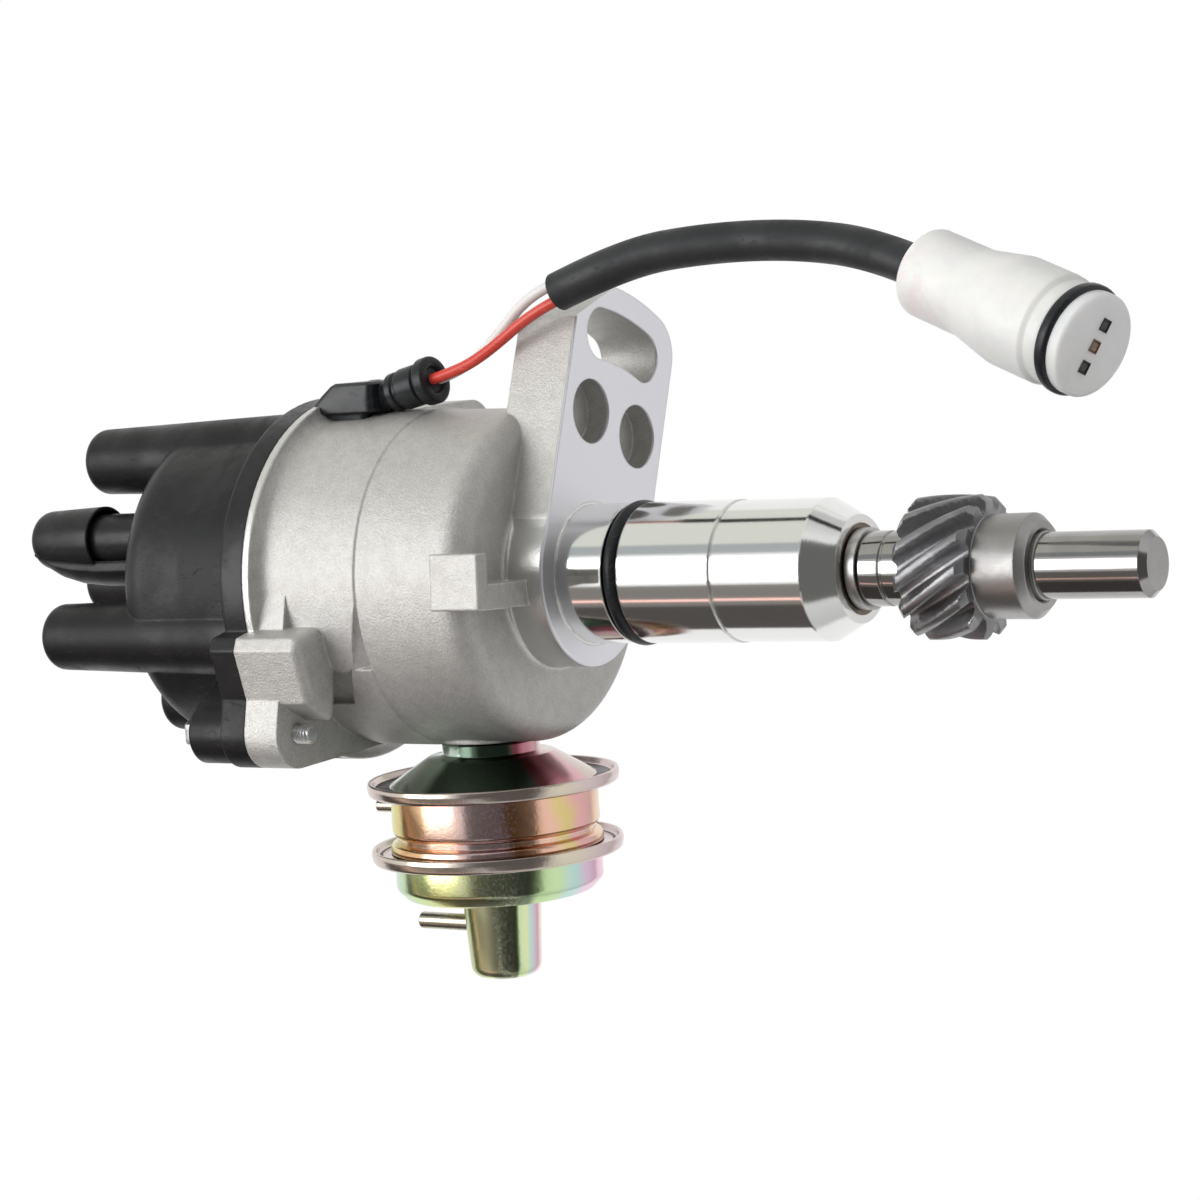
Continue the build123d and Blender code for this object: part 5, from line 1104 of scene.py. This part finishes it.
    def build(self) -> None:
        """Build the unit and hand its pieces over."""
        s = self.sizes
        self.hand_over(self.cover(), "yellow_zinc", "vacuum_cover")
        self.hand_over(self.middle(), "yellow_zinc", "vacuum_can_middle")
        self.hand_over(self.outer(), "yellow_zinc", "vacuum_can_outer")
        for end, node, distance, foot, tip, radius in (
                ("thin", "hose_nipple_upper", 46.8, s.can_radius - 1.5, 56.6, 1.35),
                ("thick", "hose_nipple_lower", 70.2, 5.6, 47.6, 1.7)):
            nipple = self.nipple(f"hose_nipple_{end}", distance, s.height + foot, tip, radius)
            self.hand_over(nipple, "yellow_zinc", node)
        screws = [self.screw(f"seat_screw_{turn:.0f}", turn) for turn in (60.0, 240.0)]
        self.hand_over(join("vacuum_screw_pair", screws), "bright_zinc", "vacuum_screws")


# ---------------------------------------------------------------- gear and shaft
@dataclass
class GearSizes:
    """Sizes of the helical gear, its hub and collar and of the shank's ring, in millimetres and degrees."""

    teeth: int = 13
    tip: float = 13.1
    root: float = 9.9
    top: float = -71.4
    width: float = 14.2
    twist: float = -44.0
    tip_trim: float = 1.3
    trim_height: float = 1.2
    hub: float = 9.5
    hub_length: float = 10.0
    collar: float = 6.95
    collar_top: float = -61.4
    groove: float = 6.6
    bore: float = 6.22
    ring_circle: float = 12.45
    ring_height: float = -12.0
    ring_radius: float = 1.5


class GearTrain(Assembly):
    """Helical gear, its hub and the shank's rubber ring."""

    body = "shaft"
    sizes = GearSizes()

    def teeth(self) -> Piece:
        """Helical teeth: r(a) swings between root and tip on a softened square wave of the tooth count,
        the wave turns with height by the twist, and a cone trims the tips near both ends."""
        s = self.sizes
        steepness, widening = 2.6, 0.15
        bottom = s.top - s.width
        height = np.concatenate([
            np.linspace(bottom, bottom + 1.2, 4), np.linspace(bottom + 1.8, s.top - 1.8, 22),
            np.linspace(s.top - 1.2, s.top, 4)])[:, None]
        angle = full_turn(s.teeth * 22)
        turn = math.radians(s.twist) * (height - bottom) / s.width
        wave = np.cos(s.teeth * (angle[None] - turn))
        tooth = 0.5 + 0.5 * np.tanh(steepness * wave + widening) / math.tanh(steepness)
        radius = s.root + (s.tip - s.root) * tooth
        end = np.clip(np.minimum(height - bottom, s.top - height) / s.trim_height, 0, 1)
        radius = np.minimum(radius, s.tip - s.tip_trim + s.tip_trim * end)
        bore = polar(s.bore, angle, np.array([[s.top], [bottom]]))
        grid = np.concatenate([polar(radius, angle, height), bore])
        return grid_object("gear_teeth", grid * MM, wrap_rows=True)

    def gear(self) -> Piece:
        """Toothed part, hub below it and grooved collar above it."""
        s = self.sizes
        top, foot = s.top - s.width, s.top - s.width - s.hub_length
        hub = turned("gear_hub", [
            (s.bore, top + 0.3), (s.hub - 0.1, top + 0.3), (s.hub, foot + 1.5, 0.3), (s.hub - 1.5, foot, 0.3),
            (s.bore + 0.5, foot, 0.2), (s.bore, foot + 0.5, 0.1)], closed=True, steps=96)
        collar = turned("gear_collar", [
            (s.bore, s.top - 0.5), (s.collar, s.top - 0.5), (s.collar, s.collar_top - 5.0, 0.2),
            (s.groove, s.collar_top - 4.8, 0.1), (s.groove, s.collar_top - 4.4, 0.1),
            (s.collar, s.collar_top - 4.2, 0.2), (s.collar, s.collar_top, 0.3), (s.bore, s.collar_top)],
            closed=True, steps=96)
        return join("helical_gear", [self.dress(self.teeth(), "gear_steel"), self.dress(hub, "hub_steel"),
                                     self.dress(collar, "ground_steel")])

    def build(self) -> None:
        """Build the gear and the ring and hand them over."""
        s = self.sizes
        self.hand_over(self.gear(), "gear_steel", "drive_gear")
        turn = full_turn(24)
        section = np.stack([s.ring_circle + s.ring_radius * np.cos(turn),
                            s.ring_height + s.ring_radius * np.sin(turn)], -1)
        ring = lathe("shank_ring", section, closed=True, edge=Edge.SMOOTH)
        self.hand_over(self.dress(ring, "black_rubber"), "black_rubber", "shank_o_ring", body="housing")


# ---------------------------------------------------------------- cap screws
@dataclass
class ScrewSizes:
    """Sizes of a cap screw, in millimetres."""

    radius: float = 2.0
    head_radius: float = 3.9
    head_low: float = 72.3
    head_high: float = 75.7
    tip: float = 46.0
    thread_top: float = 58.5
    ear_radius: float = 42.6
    pitch: float = 0.7
    thread_sink: float = 0.16
    thread_swing: float = 0.14
    point_start: float = 1.6
    point_length: float = 2.0
    point_least: float = 0.6
    corner_trim: float = 0.985


class CapScrews(Assembly):
    """Two machine screws with six-sided heads and rolled threads."""

    sizes = ScrewSizes()

    def screw(self, name: str, angle: float) -> Piece:
        """Screw: a round shank whose thread is a fine wave of radius against height and turn, and a
        six-sided head whose radius is the apothem over the cosine of the angle to the nearest flat."""
        s = self.sizes
        turn = full_turn(48)
        place = Placement((s.ear_radius * math.cos(math.radians(angle)),
                           s.ear_radius * math.sin(math.radians(angle)), 0))
        height = np.linspace(s.tip, s.thread_top, 160)[:, None]
        wave = np.cos(2 * np.pi * height / s.pitch - turn[None])
        taper = np.clip((height - s.tip + s.point_start) / s.point_length, s.point_least, 1)
        shank = polar((s.radius - s.thread_sink + s.thread_swing * wave) * taper, turn, height)
        thread = grid_object(f"{name}_thread", place.place(shank))
        flat = s.head_radius * math.cos(math.pi / 6) / np.cos(turn % (np.pi / 3) - np.pi / 6)
        outline = np.minimum(flat, s.head_radius * s.corner_trim)
        share, level = np.array([
            (0.0, s.head_low), (1.0, s.head_low), (1.0, s.head_high - 0.7), (0.93, s.head_high - 0.1),
            (0.86, s.head_high), (0.50, s.head_high), (0.46, s.head_high - 0.5), (0.0, s.head_high - 0.5)
        ]).T[:, :, None]
        head = grid_object(f"{name}_head", place.place(polar(outline * share, turn, level)))
        return join(name, [self.dress(thread, "bright_zinc"), self.dress(head, "bright_zinc")])

    def build(self) -> None:
        """Build both screws and hand them over."""
        for index, angle in enumerate((230.5, 50.5), start=1):
            self.hand_over(self.screw(f"cap_fastener_{index}", angle), "bright_zinc", f"cap_screw_{index}")


# ---------------------------------------------------------------- breather hood
@dataclass
class HoodSizes:
    """Sizes of the breather hood on the cap, in millimetres; skirt_reach is (distance from tip, reach)."""

    place: Vec3 = (10.5, -15.6, 0.0)
    tip: float = 127.6
    mouth: float = 110.2
    base: float = 95.2
    radius: float = 6.8
    tip_radius: float = 6.0
    wall: float = 0.7
    hollow: float = 5.0
    neck: float = 5.2
    neck_drop: float = 5.2
    skirt_drop: float = 1.0
    skirt_foot: float = 98.4
    skirt_half: float = 4.9
    skirt_bend: float = 0.6
    skirt_wall: float = 2.0
    skirt_narrowing: float = 0.9
    skirt_reach: tuple[Span, ...] = ((1.0, 4.4), (3.0, 6.2), (6.0, 7.9), (11.0, 9.2), (17.4, 9.8))


class BreatherHood(Assembly):
    """Hood over the cap's breather neck, with a curved skirt on its lower side."""

    sizes = HoodSizes()

    def shell(self) -> Piece:
        """Hood: a turned cap with a rounded tip and a hollow mouth."""
        s = self.sizes
        return turned("hood_shell", [
            (0, s.tip), (s.tip_radius, s.tip, 3.6), (s.radius, s.mouth, 0.25),
            (s.radius - s.wall, s.mouth, 0.2), (s.tip_radius - s.wall, s.tip - s.hollow, 0.4),
            (0, s.tip - s.hollow)], Placement(s.place), steps=96)

    def neck(self) -> Piece:
        """Breather neck inside the hood."""
        s = self.sizes
        top = s.tip - s.neck_drop
        return turned("hood_neck", [(0, top), (s.neck, top), (s.neck, s.base)], Placement(s.place), steps=72)

    def skirt(self) -> Piece:
        """Skirt: closed crescent sections stacked along Z on the hood's -X side. Each outer side is the arc
        x = -reach sqrt(1 - bend v^2), y = half_width v, and the inner side is the same arc drawn in."""
        s = self.sizes
        height = np.linspace(s.tip - s.skirt_drop, s.skirt_foot, 32)
        reach = np.interp(s.tip - height, *zip(*s.skirt_reach))
        across = np.linspace(-1.0, 1.0, 33)
        arc = np.sqrt(1.0 - s.skirt_bend * across ** 2)
        sections = []
        for z, deep in zip(height, reach):
            outer = np.stack([-deep * arc, s.skirt_half * across, np.full(across.size, z)], -1)
            inner = outer[::-1] * (1.0, s.skirt_narrowing, 1.0)
            inner[:, 0] = np.minimum(inner[:, 0] + s.skirt_wall, -1.0)
            sections.append(np.concatenate([outer, inner]))
        return grid_object("hood_skirt", Placement(s.place).place(np.stack(sections)))

    def build(self) -> None:
        """Build the hood and hand it over."""
        shells = self.shell(), self.neck(), self.skirt()
        pieces = [self.dress(piece, "black_moulding") for piece in shells]
        self.hand_over(join("vent_hood", pieces), "black_moulding", "breather_hood")


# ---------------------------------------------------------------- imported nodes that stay
class PackedNodes:
    """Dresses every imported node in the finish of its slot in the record."""

    finish_of_slot: dict[str, str] = {"yellow_zinc": "zinc_green"}

    def __init__(self, finishes: Finishes) -> None:
        """Keep the finishes."""
        self.finishes = finishes

    def build(self) -> None:
        """Give each node its finish."""
        for row in frame["record"]["subparts"]:
            slot = row["material_slot"]
            self.finishes.dress(frame["nodes"][row["node"]], self.finish_of_slot.get(slot, slot))
            LOG.info("%s: dressed in %s", row["node"], slot)


# ---------------------------------------------------------------- studio
@dataclass
class Studio:
    """Camera, soft lights, pale floor, white surroundings and the cards that metal reflects.

    Lengths are in metres and angles in degrees. A lamp is its name, azimuth, elevation, width, height
    and power. A card is its name, first and last azimuth, tone and distance.
    """

    lens: float = 96.0
    camera: Vec3 = (0.04926093, -0.51441868, -0.34154955)
    right: Vec3 = (-0.06996289, 0.54552777, -0.83516743)
    up: Vec3 = (0.99367067, 0.11187151, -0.01016689)
    back: Vec3 = (0.08788512, -0.83059269, -0.5499018)
    ambient: float = 0.25
    lamp_distance: float = 1.1
    lamps: tuple[tuple[str, float, float, float, float, float], ...] = (
        ("key", -81.0, 33.0, 0.64, 0.72, 6.0), ("side", -60.0, 25.0, 0.7, 0.7, 5.0),
        ("top", -8.0, 14.0, 0.8, 0.8, 0.8), ("far", 130.0, 35.0, 0.9, 0.9, 2.6))
    card_low: float = -6.0
    card_high: float = 84.0
    card_points: int = 9
    cards: tuple[tuple[str, float, float, Colour, float], ...] = (
        ("shade_low", -191.0, -141.0, (0.095, 0.088, 0.084), 1.5),
        ("shade_soft", -142.0, -106.0, (0.25, 0.235, 0.22), 1.5),
        ("shade_line", -56.0, -40.0, (0.46, 0.49, 0.50), 1.5),
        ("pale_side", -40.0, 32.0, (0.80, 0.81, 0.75), 1.5),
        ("pink_line", -133.0, -129.5, (1.7, 1.05, 0.92), 1.45))
    floor_level: float = -0.46
    floor_reach: float = 3.0
    floor_tone: Colour = (0.82, 0.82, 0.82)
    floor_glow: float = 0.46
    near_half: float = 0.75
    near_line: tuple[Span, ...] = ((-0.08, -0.456), (-1.4, -0.456), (-1.45, 0.02))
    near_tone: Colour = (0.15, 0.15, 0.145)

    def place_camera(self) -> None:
        """Make the camera."""
        data = bpy.data.cameras.new("camera")
        data.sensor_width = 36.0
        data.lens = self.lens
        data.clip_start = 0.01
        data.clip_end = 50.0
        camera = link("camera", data)
        columns = Matrix((self.right, self.up, self.back)).transposed()
        camera.matrix_world = Matrix.LocRotScale(Vector(self.camera), columns, None)
        bpy.context.scene.camera = camera

    def lamp(self, name: str, azimuth: float, elevation: float, width: float, height: float,
             power: float) -> None:
        """Rectangular soft light that faces the object.

        Args:
            name: Name of the light.
            azimuth: Its direction from +X, in degrees.
            elevation: Its direction above the horizon, in degrees.
            width: Its width in metres.
            height: Its height in metres.
            power: Its power in watts.
        """
        data = bpy.data.lights.new(name, "AREA")
        data.shape = "RECTANGLE"
        data.size, data.size_y, data.energy = width, height, power
        light = link(name, data)
        light.visible_glossy = name == "key"
        light.location = self.lamp_distance * sphere(azimuth, elevation)
        light.rotation_euler = (-light.location).to_track_quat("-Z", "Y").to_euler()

    def panel(self, name: str, grid: Points, colour: Colour, matte: bool = False) -> Piece:
        """Stage panel from a grid of points.

        Args:
            name: Name of the panel.
            grid: Array of shape (rows, columns, 3) in metres.
            colour: Its colour, or its glow if it isn't matte.
            matte: Whether it is a lit matte surface rather than a card with a steady tone, which only
                glossy rays see.

        Returns:
            The panel.
        """
        piece = link(name, grid_mesh(name, grid))
        material = bpy.data.materials.new(f"{name}_paint")
        desk, shader = principled(material)
        glow: Signal | float = 1.0
        if matte:
            path = desk.node("ShaderNodeLightPath").outputs
            seen = Signal(desk, path["Is Camera Ray"]).most(Signal(desk, path["Is Glossy Ray"]))
            glow = seen * self.floor_glow
        else:
            piece.visible_camera = piece.visible_diffuse = piece.visible_shadow = False
            piece.visible_transmission = False
        desk.feed(shader, {"Roughness": 0.9, "Specular IOR Level": 0.0, "Emission Color": colour,
                           "Base Color": colour if matte else (0.0, 0.0, 0.0), "Emission Strength": glow})
        piece.data.materials.append(material)
        return piece

    def surround(self) -> None:
        """White world for camera, glossy and transmission rays, softer for the light itself."""
        world = bpy.data.worlds.new("studio")
        bpy.context.scene.world = world
        world.use_nodes = True
        desk = Desk(world.node_tree)
        shade = next(n for n in world.node_tree.nodes if n.type == "BACKGROUND")
        path = desk.node("ShaderNodeLightPath").outputs
        rays = "Camera", "Glossy", "Transmission"
        camera, glossy, through = [Signal(desk, path[f"Is {ray} Ray"]) for ray in rays]
        strength = camera.most(glossy.most(through)).span(self.ambient, 1.0)
        desk.feed(shade, {"Color": (1.0, 1.0, 1.0), "Strength": strength})

    def build(self) -> None:
        """Set the whole studio up."""
        self.place_camera()
        self.surround()
        for lamp in self.lamps:
            self.lamp(*lamp)
        for name, start, end, tone, distance in self.cards:
            turn, lift = np.meshgrid(np.linspace(start, end, self.card_points),
                                     np.linspace(self.card_low, self.card_high, self.card_points))
            card = self.panel(name, distance * sphere(turn, lift), tone)
            card.visible_diffuse = name == "shade_low"
        reach, level = self.floor_reach, self.floor_level
        floor = [[(-reach, y, level), (reach, y, level)] for y in (-reach, reach)]
        self.panel("floor", np.array(floor), self.floor_tone, matte=True)
        near = [[(-self.near_half, y, z), (self.near_half, y, z)] for y, z in self.near_line]
        self.panel("shade_near", np.array(near), self.near_tone)
        bpy.context.scene.view_settings.view_transform = "Standard"


def main() -> None:
    """Build the studio, the cords and then every sub-assembly."""
    logging.basicConfig(level=logging.INFO, format="%(name)s %(message)s")
    finishes = Finishes()
    Studio().build()
    for part in (PackedNodes, Harness, Outlet, VacuumUnit, GearTrain, CapScrews, BreatherHood):
        part(finishes).build()


if __name__ == "__main__":
    main()
